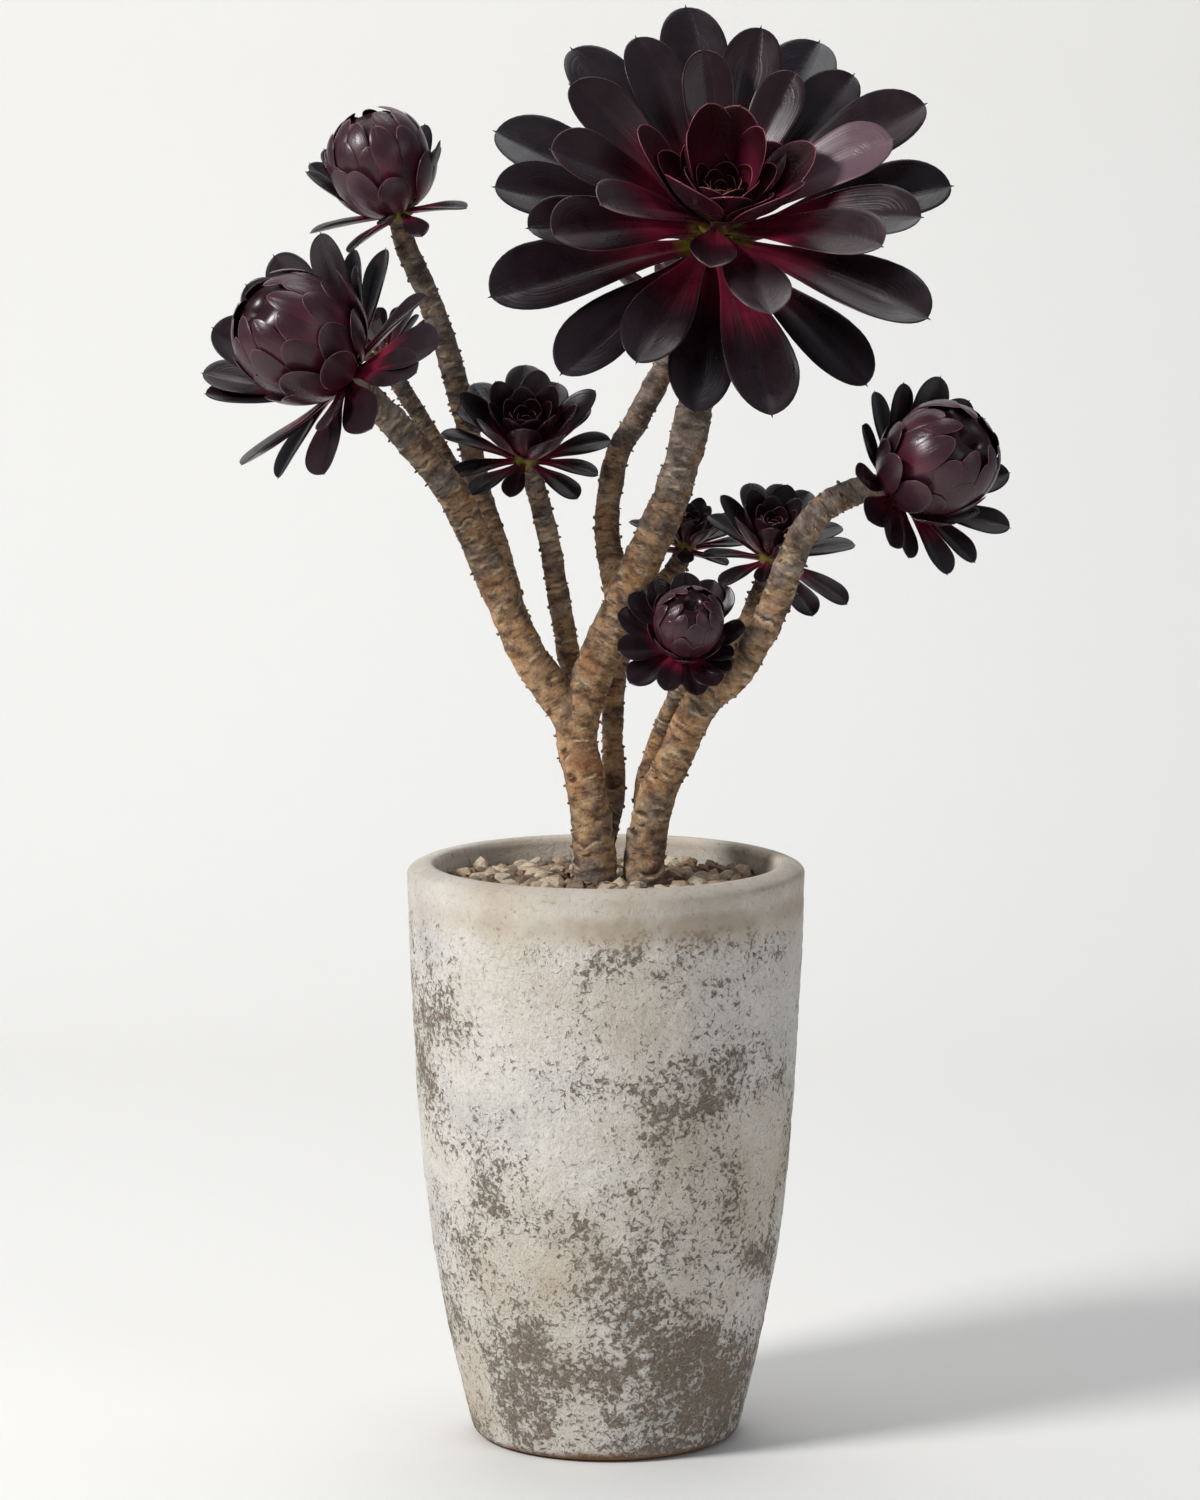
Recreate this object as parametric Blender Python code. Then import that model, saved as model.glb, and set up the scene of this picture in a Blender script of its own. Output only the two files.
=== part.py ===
"""Potted tree aeonium: a tall tapered planter, gravel over soil, two branching woody trunks and ten rosettes.

Metres, +Z up, the plant stands on z = 0 with the planter's axis on the Z axis. Every rosette is built in its
own frame: headings turn round the rosette's axis and rises are measured up from its equator.
"""

import math

import bmesh
import bpy
from mathutils import Vector

MM = 0.001
GAP = 0.3 * MM  # clearance left between two pieces that touch

# Planter, as (radius, height) in mm up the outside; the wall is WALL thick and the floor FLOOR thick.
POT_OUTSIDE = ((74, 0), (80, 3), (83, 10), (96.5, 68), (105.5, 119), (115, 218), (119.5, 300), (120, 346),
               (118.5, 351), (115, 353))
POT_INSIDE = ((107, 353), (104, 350.5), (103, 345), (98, 218), (88, 119), (70, 30), (60, 26))
POT_STEPS = 40
SOIL_TOP = 327.0
GRAVEL_TOP = 341.0
GRAVEL_BUMP = 3.0
GRAVEL_RINGS, GRAVEL_SPOKES = 8, 30
TRUNK_ROOT = 296.0  # the trunks are planted down to this height

# Stems: name -> (sides, [(x, y, z, radius), ...]) in mm, from the planted or branching end to the rosette.
STEMS = {
    "left_trunk": (10, [(-7, -8, TRUNK_ROOT, 12), (-7, -8, 340, 13.5), (-8, -8, 373, 12.6), (-13, -6, 404, 12),
                        (-18, -2, 431, 12.4), (-13, 0, 452, 12.2), (-2, 2, 482, 12), (12, 0, 512, 12),
                        (25, 0, 543, 11.6), (39, 0, 574, 11.2), (48, 0, 605, 11), (57, 5, 650, 10.6),
                        (62, 9, 690, 10.3), (63.5, 10, 722, 10)]),
    "right_trunk": (10, [(24, -5, TRUNK_ROOT, 11), (23, -5, 340, 12.6), (25, -7, 371, 11.8), (31, -9, 395, 11.2),
                         (41, -11, 417, 11), (50, -14, 438, 10.6), (60, -18, 455, 10.4), (74, -22, 467, 10),
                         (88, -26, 487, 9.6), (99, -28, 508, 9.3), (109, -30, 535, 9), (118, -31, 556, 8.7),
                         (130, -31, 571, 8.4), (146, -30, 580, 8.2), (160, -29, 583, 8), (176, -30, 582, 8)]),
    "left_limb": (8, [(-16, -1, 434, 10), (-34, -2, 460, 11), (-50, -5, 486, 11), (-66, -8, 522, 10.4),
                      (-79, -11, 552, 10), (-92, -14, 578, 9.6), (-107, -17, 598, 9.2), (-125, -21, 619, 8.8),
                      (-141, -25, 636, 8.5), (-156, -28, 650, 8.2)]),
    "left_rear_stem": (8, [(-50, -3, 488, 7.5), (-58, 18, 512, 7.6), (-66, 36, 540, 7.5), (-77, 46, 573, 7.4),
                           (-84, 50, 610, 7.3), (-94, 50, 651, 7.2), (-105, 46, 685, 7), (-116, 40, 712, 6.8),
                           (-123, 36, 731, 6.6), (-125, 34, 745, 6.6)]),
    "left_side_shoot": (8, [(-75, 45, 562, 5.5), (-91, 52, 582, 5.6), (-104, 57, 603, 5.5), (-116, 60, 622, 5.4),
                            (-127, 61, 640, 5.3), (-134, 61, 656, 5.3)]),
    "middle_shoot": (8, [(-14, 0, 448, 6.5), (-20, 18, 466, 6.8), (-25, 22, 490, 6.7), (-30, 23, 520, 6.6),
                         (-36, 22, 553, 6.4), (-43, 18, 580, 6.2), (-48, 15, 597, 6.2)]),
    "rear_limb": (8, [(9, 1, 507, 7.6), (4, 20, 528, 7.8), (1, 33, 550, 7.7), (2, 40, 572, 7.6), (7, 43, 596, 7.5),
                      (20, 48, 620, 7.4), (35, 54, 648, 7.2), (46, 60, 677, 7)]),
    "back_stem": (8, [(-6, -5, 352, 6.6), (1, 10, 372, 6.8), (5, 21, 400, 6.7), (4, 33, 427, 6.6), (6, 41, 460, 6.5),
                      (14, 46, 489, 6.4), (29, 52, 511, 6.2), (43, 57, 526, 6), (49, 55, 540, 6)]),
    "right_rear_shoot": (8, [(55, -15, 446, 5), (66, 2, 463, 5.4), (80, 14, 486, 5.2), (90, 22, 509, 5),
                             (97, 26, 526, 5), (99, 26, 536, 5)]),
    "front_shoot": (8, [(25, -6, 376, 5), (22, 6, 392, 5.4), (27, 7, 414, 5.4), (35, 3, 437, 5.2), (42, -8, 456, 5),
                        (47, -20, 472, 5), (47, -28, 488, 5)]),
}
# Which stem each of the others grows from.
GROWS_FROM = {"left_limb": "left_trunk", "left_rear_stem": "left_limb", "left_side_shoot": "left_rear_stem",
              "middle_shoot": "left_trunk", "rear_limb": "left_trunk", "back_stem": "left_trunk",
              "right_rear_shoot": "right_trunk", "front_shoot": "right_trunk"}

# The leaf: half-breadth along its length as a share of the breadth, and thickness in the same way.
LEAF_STATIONS = (0.0, 0.2, 0.42, 0.6, 0.76, 0.88, 0.96)
LEAF_BREADTH = (0.19, 0.34, 0.60, 0.86, 1.0, 0.84, 0.46)
LEAF_THICKNESS = (2.0, 2.6, 2.8, 2.8, 2.6, 2.2, 1.6)  # mm, on the midrib
LEAF_FOLD = 0.10  # how far the edges stand above the midrib, as a share of the breadth

# The large rosette. Each tier up its crown starts TIER higher and rises more steeply.
MAIN_BASE, MAIN_AXIS = (63.5, 10, 722), (0.10, -0.60, 0.79)
MAIN_CROWN_RADIUS = 12.0
MAIN_TIER, MAIN_RISE, MAIN_TIER_RISE, MAIN_TILT_RISE = 5.0, 4.0, 8.0, 16.0
MAIN_LEAF_PROPORTION = 0.285  # breadth over length
# Leaves of the large rosette, anticlockwise: (heading, tier, length in mm).
MAIN_LEAVES = ((104, 1.3, 143), (84, 2.5, 121), (72, 0.0, 155), (52, 1.5, 126), (27, 2.5, 138), (14, 1.0, 137),
               (-12, 3.0, 122), (-34, 2.0, 146), (-45, 0.5, 130), (-73, 1.5, 150), (-90, 1.0, 134),
               (-106, 2.0, 131), (-124, 0.5, 134), (-146, 1.0, 143), (-152, 2.5, 120), (-173, 1.5, 128),
               (163, 0.5, 138), (136, 1.0, 140), (122, 2.0, 122), (158, 3.0, 113), (-166, 4.0, 113),
               (-139, 3.5, 125), (-132, 5.0, 107), (105, 3.5, 98), (62, 3.0, 98), (14, 3.5, 110),
               (-36, 4.0, 119), (-92, 4.5, 80), (-73, 3.5, 112))
# Leaves of its heart, unfolding: (heading, tier, length).
HEART_LEAVES = ((10, 4.5, 76), (-174, 5.2, 80), (-42, 5.8, 78), (80, 5.6, 68), (128, 6.2, 68), (-118, 6.4, 74),
                (30, 6.6, 58), (-80, 6.8, 52), (170, 6.8, 54))
HEART_SPIRAL = 5  # smaller leaves standing in the middle, a golden angle apart
GOLDEN_ANGLE = 137.508

# Smaller rosettes: base and axis, then leaves as (heading, rise, length) and the size of the bud or heart.
ROSETTES = {
    "left": dict(base=(-156, -28, 650), axis=(-0.70, -0.37, 0.61), collar=9.5, bud=35, breadth=0.36,
                 leaves=((68, 42, 88), (92, 44, 88), (120, 44, 88), (148, 44, 84), (164, 40, 80), (-156, 20, 82),
                         (-160, 0, 68), (-124, 0, 78), (-112, 12, 60), (-96, 0, 74), (-64, 0, 80), (-52, 0, 86),
                         (-20, 4, 68), (28, 16, 76), (32, 28, 72), (36, 44, 84), (4, 38, 62))),
    "upper": dict(base=(-125, 34, 745), axis=(-0.33, -0.13, 0.92), collar=8.0, bud=29, breadth=0.34,
                  leaves=((-176, 8, 50), (-140, -8, 42), (-110, 4, 26), (-76, -12, 44), (-40, -8, 46), (90, 0, 40),
                          (176, 46, 58), (148, 46, 62), (128, 46, 64), (44, 46, 58), (-12, 44, 48), (32, 36, 46))),
    "middle": dict(base=(-48, 15, 597), axis=(0.0, -0.52, 0.85), collar=7.5, bud=0, breadth=0.36,
                   leaves=((96, 22, 64), (122, 20, 60), (142, 18, 50), (168, 14, 50), (-166, -4, 42),
                           (-138, -4, 40), (-104, 4, 38), (-50, 0, 44), (-20, 2, 42), (8, 12, 48), (40, 20, 48),
                           (68, 20, 56))),
    "right": dict(base=(176, -30, 582), axis=(0.61, -0.58, 0.54), collar=9.0, bud=32, breadth=0.34,
                  leaves=((124, 40, 68), (148, 36, 60), (152, 12, 56), (-160, 28, 48), (-124, 20, 52), (-96, 16, 60),
                          (-76, 12, 56), (-56, 4, 44), (-32, 8, 56), (-4, 10, 56), (16, 28, 64), (48, 40, 64),
                          (88, 44, 64), (104, 44, 66))),
    "small_right": dict(base=(99, 26, 536), axis=(0.10, -0.45, 0.88), collar=6.5, bud=0, breadth=0.34,
                        leaves=((110, 24, 52), (88, 24, 54), (64, 24, 52), (146, 14, 44), (-174, 2, 38),
                                (-138, -6, 36), (-98, 6, 30), (-60, -6, 52), (-30, -8, 54), (12, 12, 50),
                                (36, 10, 50))),
    "front": dict(base=(47, -28, 488), axis=(0.10, -0.70, 0.70), collar=6.5, bud=20, breadth=0.46,
                  leaves=((96, 38, 42), (128, 34, 42), (150, 18, 42), (172, 20, 42), (-156, 16, 42), (-132, 4, 42),
                          (-104, 4, 34), (-76, 4, 34), (-60, 16, 38), (-40, 20, 34), (-20, 24, 30), (8, 36, 38),
                          (56, 34, 42), (72, 38, 42))),
    "back": dict(base=(49, 55, 540), axis=(0.15, -0.35, 0.92), collar=6.5, bud=0, breadth=0.36,
                 leaves=((0, 14, 34), (48, 10, 36), (90, 16, 36), (132, 12, 36), (176, 14, 34), (-140, 8, 32),
                         (-90, 10, 30), (-44, 10, 32))),
}
# Rosettes hidden behind the others, each grown as one piece.
HIDDEN_ROSETTES = {
    "rear_rosette": dict(base=(46, 60, 677), axis=(0.25, 0.62, 0.74), collar=7.5, spread=50, count=12),
    "side_rosette": dict(base=(-134, 61, 656), axis=(-0.45, 0.45, 0.77), collar=6.5, spread=40, count=11),
}

COLOURS = {"pot": (0.62, 0.58, 0.52), "soil": (0.035, 0.024, 0.016), "gravel": (0.30, 0.22, 0.15),
           "bark": (0.20, 0.12, 0.07), "leaf": (0.018, 0.009, 0.014), "heart": (0.12, 0.012, 0.022)}


def clear_scene():
    for thing in list(bpy.data.objects):
        bpy.data.objects.remove(thing, do_unlink=True)


def material(name, colour, roughness):
    made = bpy.data.materials.new(name)
    made.use_nodes = True
    shader = made.node_tree.nodes["Principled BSDF"]
    shader.inputs["Base Color"].default_value = (*colour, 1.0)
    shader.inputs["Roughness"].default_value = roughness
    return made


def object_of(name, shape):
    """A new object holding the bmesh, with its faces turned outwards."""
    bmesh.ops.recalc_face_normals(shape, faces=shape.faces)
    mesh = bpy.data.meshes.new(name)
    shape.to_mesh(mesh)
    shape.free()
    made = bpy.data.objects.new(name, mesh)
    bpy.context.scene.collection.objects.link(made)
    return made


def finished(thing, kind, roughness):
    thing.data.materials.clear()
    thing.data.materials.append(material(thing.name, COLOURS[kind], roughness))
    return thing


def combined(thing, others, operation, keep=False):
    """The object after a Boolean with each of the others, which are removed unless they are kept."""
    for other in others:
        step = thing.modifiers.new(operation.lower(), "BOOLEAN")
        step.operation, step.solver, step.object = operation, "EXACT", other
    bpy.context.view_layer.update()
    mesh = bpy.data.meshes.new_from_object(thing.evaluated_get(bpy.context.evaluated_depsgraph_get()))
    thing.modifiers.clear()
    thing.data = mesh
    if not keep:
        for other in others:
            bpy.data.objects.remove(other, do_unlink=True)
    return thing


def largest_piece(thing):
    """Drops slips of a mesh that a cut has left loose from its main piece."""
    shape = bmesh.new()
    shape.from_mesh(thing.data)
    shape.verts.ensure_lookup_table()
    seen, pieces = set(), []
    for start in shape.verts:
        if start in seen:
            continue
        piece, front = {start}, [start]
        while front:
            for edge in front.pop().link_edges:
                for vert in edge.verts:
                    if vert not in piece:
                        piece.add(vert)
                        front.append(vert)
        seen |= piece
        pieces.append(piece)
    pieces.sort(key=len)
    bmesh.ops.delete(shape, geom=[v for piece in pieces[:-1] for v in piece], context="VERTS")
    shape.to_mesh(thing.data)
    shape.free()
    return thing


def loft(shape, rings, tip=None):
    """Skins closed rings of points, capping the first ring and closing the last on a tip point or a cap."""
    made = [[shape.verts.new(point) for point in ring] for ring in rings]
    count = len(made[0])
    for low, high in zip(made, made[1:]):
        for i in range(count):
            shape.faces.new((low[i], low[(i + 1) % count], high[(i + 1) % count], high[i]))
    shape.faces.new(made[0][::-1])
    if tip is None:
        shape.faces.new(made[-1])
    else:
        end = shape.verts.new(tip)
        for i in range(count):
            shape.faces.new((made[-1][i], made[-1][(i + 1) % count], end))


# ---- planter, soil and gravel -------------------------------------------------------------------------------

def lathe(name, profile, steps):
    """A closed solid turned round the Z axis from (radius, height) points in mm, both ends on the axis."""
    points = [(0.0, profile[0][1])] + list(profile) + [(0.0, profile[-1][1])]
    mesh = bpy.data.meshes.new(name)
    mesh.from_pydata([(r * MM, 0.0, z * MM) for r, z in points],
                     [(i, i + 1) for i in range(len(points) - 1)], [])
    made = bpy.data.objects.new(name, mesh)
    bpy.context.scene.collection.objects.link(made)
    turn = made.modifiers.new("turn", "SCREW")
    turn.steps = turn.render_steps = steps
    turn.use_merge_vertices, turn.merge_threshold = True, 0.00001
    turn.use_normal_calculate = True
    bpy.context.view_layer.update()
    shape = bmesh.new()
    shape.from_object(made, bpy.context.evaluated_depsgraph_get())
    bpy.data.objects.remove(made, do_unlink=True)
    return object_of(name, shape)


def inside_radius(height):
    """Radius of the planter's inside in mm at a height."""
    line = POT_INSIDE[::-1]
    for (r0, z0), (r1, z1) in zip(line, line[1:]):
        if z0 <= height <= z1:
            return r0 + (r1 - r0) * (height - z0) / (z1 - z0)
    return line[-1][0]


def build_pot():
    return finished(lathe("pot", POT_OUTSIDE + POT_INSIDE, POT_STEPS), "pot", 0.9)


def build_soil(trunks):
    gap = GAP / MM
    under = [(r - 2 * gap, z) for r, z in POT_INSIDE[::-1] if z < SOIL_TOP]
    under[0] = (under[0][0], under[0][1] + gap)
    profile = under + [(inside_radius(SOIL_TOP) - 2 * gap, SOIL_TOP)]
    soil = lathe("potting_soil", profile, POT_STEPS)
    return finished(combined(soil, trunks, "DIFFERENCE", keep=True), "soil", 1.0)


def build_gravel(trunks):
    """A bed of stones as one piece: a disc whose top is knobbly."""
    low = SOIL_TOP + GAP / MM
    shape = bmesh.new()
    reach = inside_radius(low) - 2 * GAP / MM

    def height(ring, spoke):
        wave = math.sin(12.9898 * ring + 78.233 * spoke) * 43758.5453
        return GRAVEL_TOP + GRAVEL_BUMP * 2 * (wave - math.floor(wave) - 0.5)

    def ring_of(radius, level, turn=0.0):
        return [shape.verts.new((radius * MM * math.cos(2 * math.pi * (i + turn) / GRAVEL_SPOKES),
                                 radius * MM * math.sin(2 * math.pi * (i + turn) / GRAVEL_SPOKES),
                                 (level(i) if callable(level) else level) * MM)) for i in range(GRAVEL_SPOKES)]

    rings = [ring_of(reach, low)]
    for k in range(GRAVEL_RINGS, 0, -1):
        rings.append(ring_of(reach * k / GRAVEL_RINGS, lambda i, k=k: height(k, i), 0.0))
    for outer, inner in zip(rings, rings[1:]):
        for i in range(GRAVEL_SPOKES):
            j = (i + 1) % GRAVEL_SPOKES
            shape.faces.new((outer[i], outer[j], inner[j], inner[i]))
    shape.faces.new(rings[0])
    crown = shape.verts.new((0, 0, GRAVEL_TOP * MM))
    for i in range(GRAVEL_SPOKES):
        shape.faces.new((rings[-1][i], rings[-1][(i + 1) % GRAVEL_SPOKES], crown))
    bmesh.ops.triangulate(shape, faces=shape.faces)
    gravel = object_of("gravel_mulch", shape)
    return finished(combined(gravel, trunks, "DIFFERENCE", keep=True), "gravel", 0.9)


# ---- stems --------------------------------------------------------------------------------------------------

def stem(name, grow=0.0):
    """A round tapering stem along its route; grow makes it fatter all round, for cutting."""
    sides, route = STEMS[name]
    points = [Vector(p[:3]) * MM for p in route]
    shape = bmesh.new()
    side = Vector((0, 1, 0))
    rings = []
    for i, (point, row) in enumerate(zip(points, route)):
        along = (points[min(i + 1, len(points) - 1)] - points[max(i - 1, 0)]).normalized()
        side = (side - along * side.dot(along)).normalized()
        across = along.cross(side)
        radius = row[3] * MM + grow
        shift = along * (grow if i == len(points) - 1 else -grow if i == 0 else 0.0)
        rings.append([point + shift + radius * (math.cos(2 * math.pi * k / sides) * side
                                                + math.sin(2 * math.pi * k / sides) * across)
                      for k in range(sides)])
    loft(shape, rings)
    return object_of(name if not grow else name + "_room", shape)


# ---- rosettes -----------------------------------------------------------------------------------------------

def frame_of(axis):
    """(right, back, up) of a rosette whose axis points this way."""
    up = Vector(axis).normalized()
    right = Vector((0, 1, 0)).cross(up).normalized()
    return right, up.cross(right), up


def add_leaf(shape, base, axis, heading, rise, length, breadth, start, height, bend, thick=1.0, sections=None):
    """Adds one spoon-shaped leaf. Its midrib is an arc that starts `bend` steeper than `rise` and ends as much
    flatter; start is how far from the axis it begins and height how far up the crown. Lengths in mm."""
    right, back, up = frame_of(axis)
    out = math.cos(math.radians(heading)) * right + math.sin(math.radians(heading)) * back
    side = up.cross(out)
    picked = range(len(LEAF_STATIONS)) if sections is None else sections
    point = Vector(base) + up * height + out * start
    rings, at = [], 0.0
    steps = 24
    line = [(0.0, point.copy())]
    for i in range(steps):
        angle = math.radians(rise + bend * (1 - 2 * (i + 0.5) / steps))
        point = point + (math.cos(angle) * out + math.sin(angle) * up) * (length / steps)
        line.append(((i + 1) / steps, point.copy()))

    def on_line(share):
        i = min(int(share * steps), steps - 1)
        f = share * steps - i
        return line[i][1].lerp(line[i + 1][1], f)

    for k in picked:
        at = LEAF_STATIONS[k]
        angle = math.radians(rise + bend * (1 - 2 * at))
        normal = math.cos(angle) * up - math.sin(angle) * out
        middle = on_line(at)
        half = LEAF_BREADTH[k] * breadth / 2
        depth = LEAF_THICKNESS[k] * thick / 2
        fold = LEAF_FOLD * LEAF_BREADTH[k] * breadth
        low, high = fold * 0.35 - depth * 0.8, fold * 0.35 + depth * 0.8
        section = [(-1.0, fold), (-0.5, low), (0.0, -depth), (0.5, low), (1.0, fold), (0.5, high), (0.0, depth),
                   (-0.5, high)]
        if sections is not None:
            section = section[0:2] + section[3:6] + section[7:]
        rings.append([(middle + side * half * u + normal * v) * MM for u, v in section])
    loft(shape, rings, on_line(1.0) * MM)


def leaf_object(name, *values, **named):
    shape = bmesh.new()
    add_leaf(shape, *values, **named)
    return object_of(name, shape)


def main_leaf(name, heading, tier, length, bend, start):
    rise = MAIN_RISE + MAIN_TIER_RISE * tier + MAIN_TILT_RISE * math.sin(math.radians(heading))
    start += 1.1 * abs(math.sin(math.radians(rise + bend)))
    return leaf_object(name, MAIN_BASE, MAIN_AXIS, heading, rise, length, MAIN_LEAF_PROPORTION * length, start,
                       MAIN_TIER * tier, bend)


def crown(name, base, axis, radii, sides=12):
    """The tip of a stem that leaves sit on: (radius, height along the axis) in mm."""
    right, back, up = frame_of(axis)
    shape = bmesh.new()
    loft(shape, [[(Vector(base) + up * h + r * (math.cos(2 * math.pi * k / sides) * right
                                                + math.sin(2 * math.pi * k / sides) * back)) * MM
                  for k in range(sides)] for r, h in radii])
    return object_of(name, shape)


def build_main_rosette():
    room = GAP / MM
    heart = crown("main_heart", MAIN_BASE, MAIN_AXIS, ((MAIN_CROWN_RADIUS, -6), (MAIN_CROWN_RADIUS, 26), (9, 40)))
    inner = [main_leaf(f"unfolding_{i}", heading, tier, length, -14, 6.0)
             for i, (heading, tier, length) in enumerate(HEART_LEAVES)]
    for i in range(HEART_SPIRAL):
        share = i / (HEART_SPIRAL - 1)
        inner.append(leaf_object(f"spiral_{i}", MAIN_BASE, MAIN_AXIS, 40 + GOLDEN_ANGLE * i, 72 + 10 * share,
                                 36 - 14 * share, 22 - 8 * share, 5 - 3 * share, 33 + 6 * share, -18))
    finished(combined(heart, inner, "UNION"), "heart", 0.4)
    for i, (heading, tier, length) in enumerate(MAIN_LEAVES):
        leaf = main_leaf(f"main_leaf_{i + 1:02d}", heading, tier, length, 8, MAIN_CROWN_RADIUS + room)
        finished(leaf, "leaf", 0.4)


def bud_rings(size, sides=12):
    """(radius, height) of a closed globe of leaves this many mm in radius, open at its top like a cup."""
    rows = ((0.30, 0.03), (0.62, 0.29), (0.89, 0.70), (1.0, 1.22), (0.94, 1.62), (0.72, 1.96), (0.42, 2.16))
    return [(size * r, size * (h - rows[0][1]) + 1.8) for r, h in rows]


def build_rosette(name, base, axis, collar, bud, breadth, leaves):
    ring = crown(f"{name}_leaves", base, axis, ((collar - 1.5, -6), (collar, -4), (collar, 1.5)), 10)
    made = []
    for i, (heading, rise, length) in enumerate(leaves):
        bend = -0.4 * rise if rise > 10 and bud else 6.0
        made.append(leaf_object(f"{name}_{i}", base, axis, heading, rise, length, breadth * length, collar - 2.0,
                                -1.5 - 1.5 * (i % 2), bend, 0.9, sections=(0, 2, 4, 6)))
    combined(ring, made, "UNION")
    if bud:
        centre = crown(f"{name}_bud", base, axis, bud_rings(bud), 14)
        room = crown("room", base, axis, [(r + 0.35, h + (-0.4 if i == 0 else 0.35))
                                          for i, (r, h) in enumerate(bud_rings(bud))], 14)
        combined(ring, [room], "DIFFERENCE")
        largest_piece(ring)
    else:
        size = max(length for _, _, length in leaves)
        centre = crown(f"{name}_bud", base, axis, ((collar - 1.0, 1.9), (collar * 0.8, size * 0.34)), 10)
        inner = []
        for i in range(8):
            share = i / 7
            inner.append(leaf_object(f"inner_{i}", base, axis, 25 + GOLDEN_ANGLE * i, 46 + 34 * share,
                                     size * (0.66 - 0.34 * share), size * (0.27 - 0.1 * share), collar * 0.4,
                                     4.0 + size * 0.12 * share, -12, 0.8, sections=(0, 2, 4, 5)))
        combined(centre, inner, "UNION")
    finished(ring, "leaf", 0.4)
    finished(centre, "heart", 0.4)


def build_hidden_rosette(name, base, axis, collar, spread, count):
    piece = crown(name, base, axis, ((collar - 1.5, -6), (collar, -4), (collar, 6), (collar * 0.5, spread * 0.4)), 10)
    made = []
    for i in range(count):
        share = i / (count - 1)
        made.append(leaf_object(f"{name}_{i}", base, axis, GOLDEN_ANGLE * i, 4 + 66 * share ** 1.2,
                                spread * (1 - 0.45 * share), spread * (0.34 - 0.12 * share), collar - 2,
                                6 * share, 6 - 20 * share, 0.9, sections=(0, 2, 4, 6)))
    finished(combined(piece, made, "UNION"), "leaf", 0.4)


def main():
    clear_scene()
    for name, rosette in ROSETTES.items():
        build_rosette(name, **rosette)
    for name, rosette in HIDDEN_ROSETTES.items():
        build_hidden_rosette(name, **rosette)
    build_main_rosette()

    stems = {name: stem(name) for name in STEMS}
    rooms = {name: stem(name, GAP) for name in STEMS}
    for child, parent in GROWS_FROM.items():
        largest_piece(combined(stems[child], [rooms[parent]], "DIFFERENCE", keep=True))
    tips = {"left_limb": ROSETTES["left"], "left_rear_stem": ROSETTES["upper"], "middle_shoot": ROSETTES["middle"],
            "right_trunk": ROSETTES["right"], "right_rear_shoot": ROSETTES["small_right"],
            "front_shoot": ROSETTES["front"], "back_stem": ROSETTES["back"],
            "rear_limb": HIDDEN_ROSETTES["rear_rosette"], "left_side_shoot": HIDDEN_ROSETTES["side_rosette"],
            "left_trunk": dict(base=MAIN_BASE, axis=MAIN_AXIS, collar=MAIN_CROWN_RADIUS)}
    for name, tip in tips.items():
        room = crown("room", tip["base"], tip["axis"],
                     ((3 * tip["collar"], -6.3), (3 * tip["collar"], 40)), 12)
        largest_piece(combined(stems[name], [room], "DIFFERENCE"))
    planted = [rooms["left_trunk"], rooms["right_trunk"]]
    build_pot()
    build_soil(planted)
    build_gravel(planted)
    for room in rooms.values():
        bpy.data.objects.remove(room, do_unlink=True)
    for made in stems.values():
        finished(made, "bark", 0.85)


main()
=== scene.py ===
"""Potted tree aeonium: the visual model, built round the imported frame.

The planter, stones, stems and rosettes are mesh and Geometry Nodes pieces that stand for the plain solids.
Sizes in the tables are millimetres, as on the real plant; meshes are made in metres.
"""

import math

import bmesh
import bpy
import numpy as np
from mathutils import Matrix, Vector, kdtree, noise


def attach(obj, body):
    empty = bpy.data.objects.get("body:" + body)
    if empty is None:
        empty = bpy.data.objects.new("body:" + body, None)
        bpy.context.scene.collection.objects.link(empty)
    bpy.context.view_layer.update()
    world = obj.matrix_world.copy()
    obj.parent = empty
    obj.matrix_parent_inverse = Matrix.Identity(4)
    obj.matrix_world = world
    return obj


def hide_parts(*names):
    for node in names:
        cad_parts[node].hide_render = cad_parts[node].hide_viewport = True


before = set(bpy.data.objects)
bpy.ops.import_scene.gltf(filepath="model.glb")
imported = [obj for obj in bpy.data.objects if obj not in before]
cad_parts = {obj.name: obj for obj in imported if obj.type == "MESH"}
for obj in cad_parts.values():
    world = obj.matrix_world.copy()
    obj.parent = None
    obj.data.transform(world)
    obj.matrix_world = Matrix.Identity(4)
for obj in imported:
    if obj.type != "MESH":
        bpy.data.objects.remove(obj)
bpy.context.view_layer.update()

MM = 0.001
SEED = 7
GOLDEN_ANGLE = math.radians(137.508)

# ---- planter, mulch and stem sizes ---------------------------------------------------------------

POT_OUTSIDE = ((74, 0), (78.5, 1.2), (81.5, 4), (83, 9), (84.6, 16), (88.5, 32), (96.5, 68), (105.5, 119),
               (111.5, 169), (115, 218), (117.6, 268), (119.3, 306), (120, 335), (120.6, 346),
               (120.4, 348.2), (118.6, 350.2), (114.5, 352.2), (110, 353.4))
POT_INSIDE = ((106.5, 353.4), (104.6, 352.4), (103.4, 349.8), (103, 344), (102.6, 330), (101.5, 300))
SOIL_TOP = 327.0
STONE_FIELD = 101.5  # radius of the bed of stones
TRUNK_ROOT = 300.0

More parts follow.
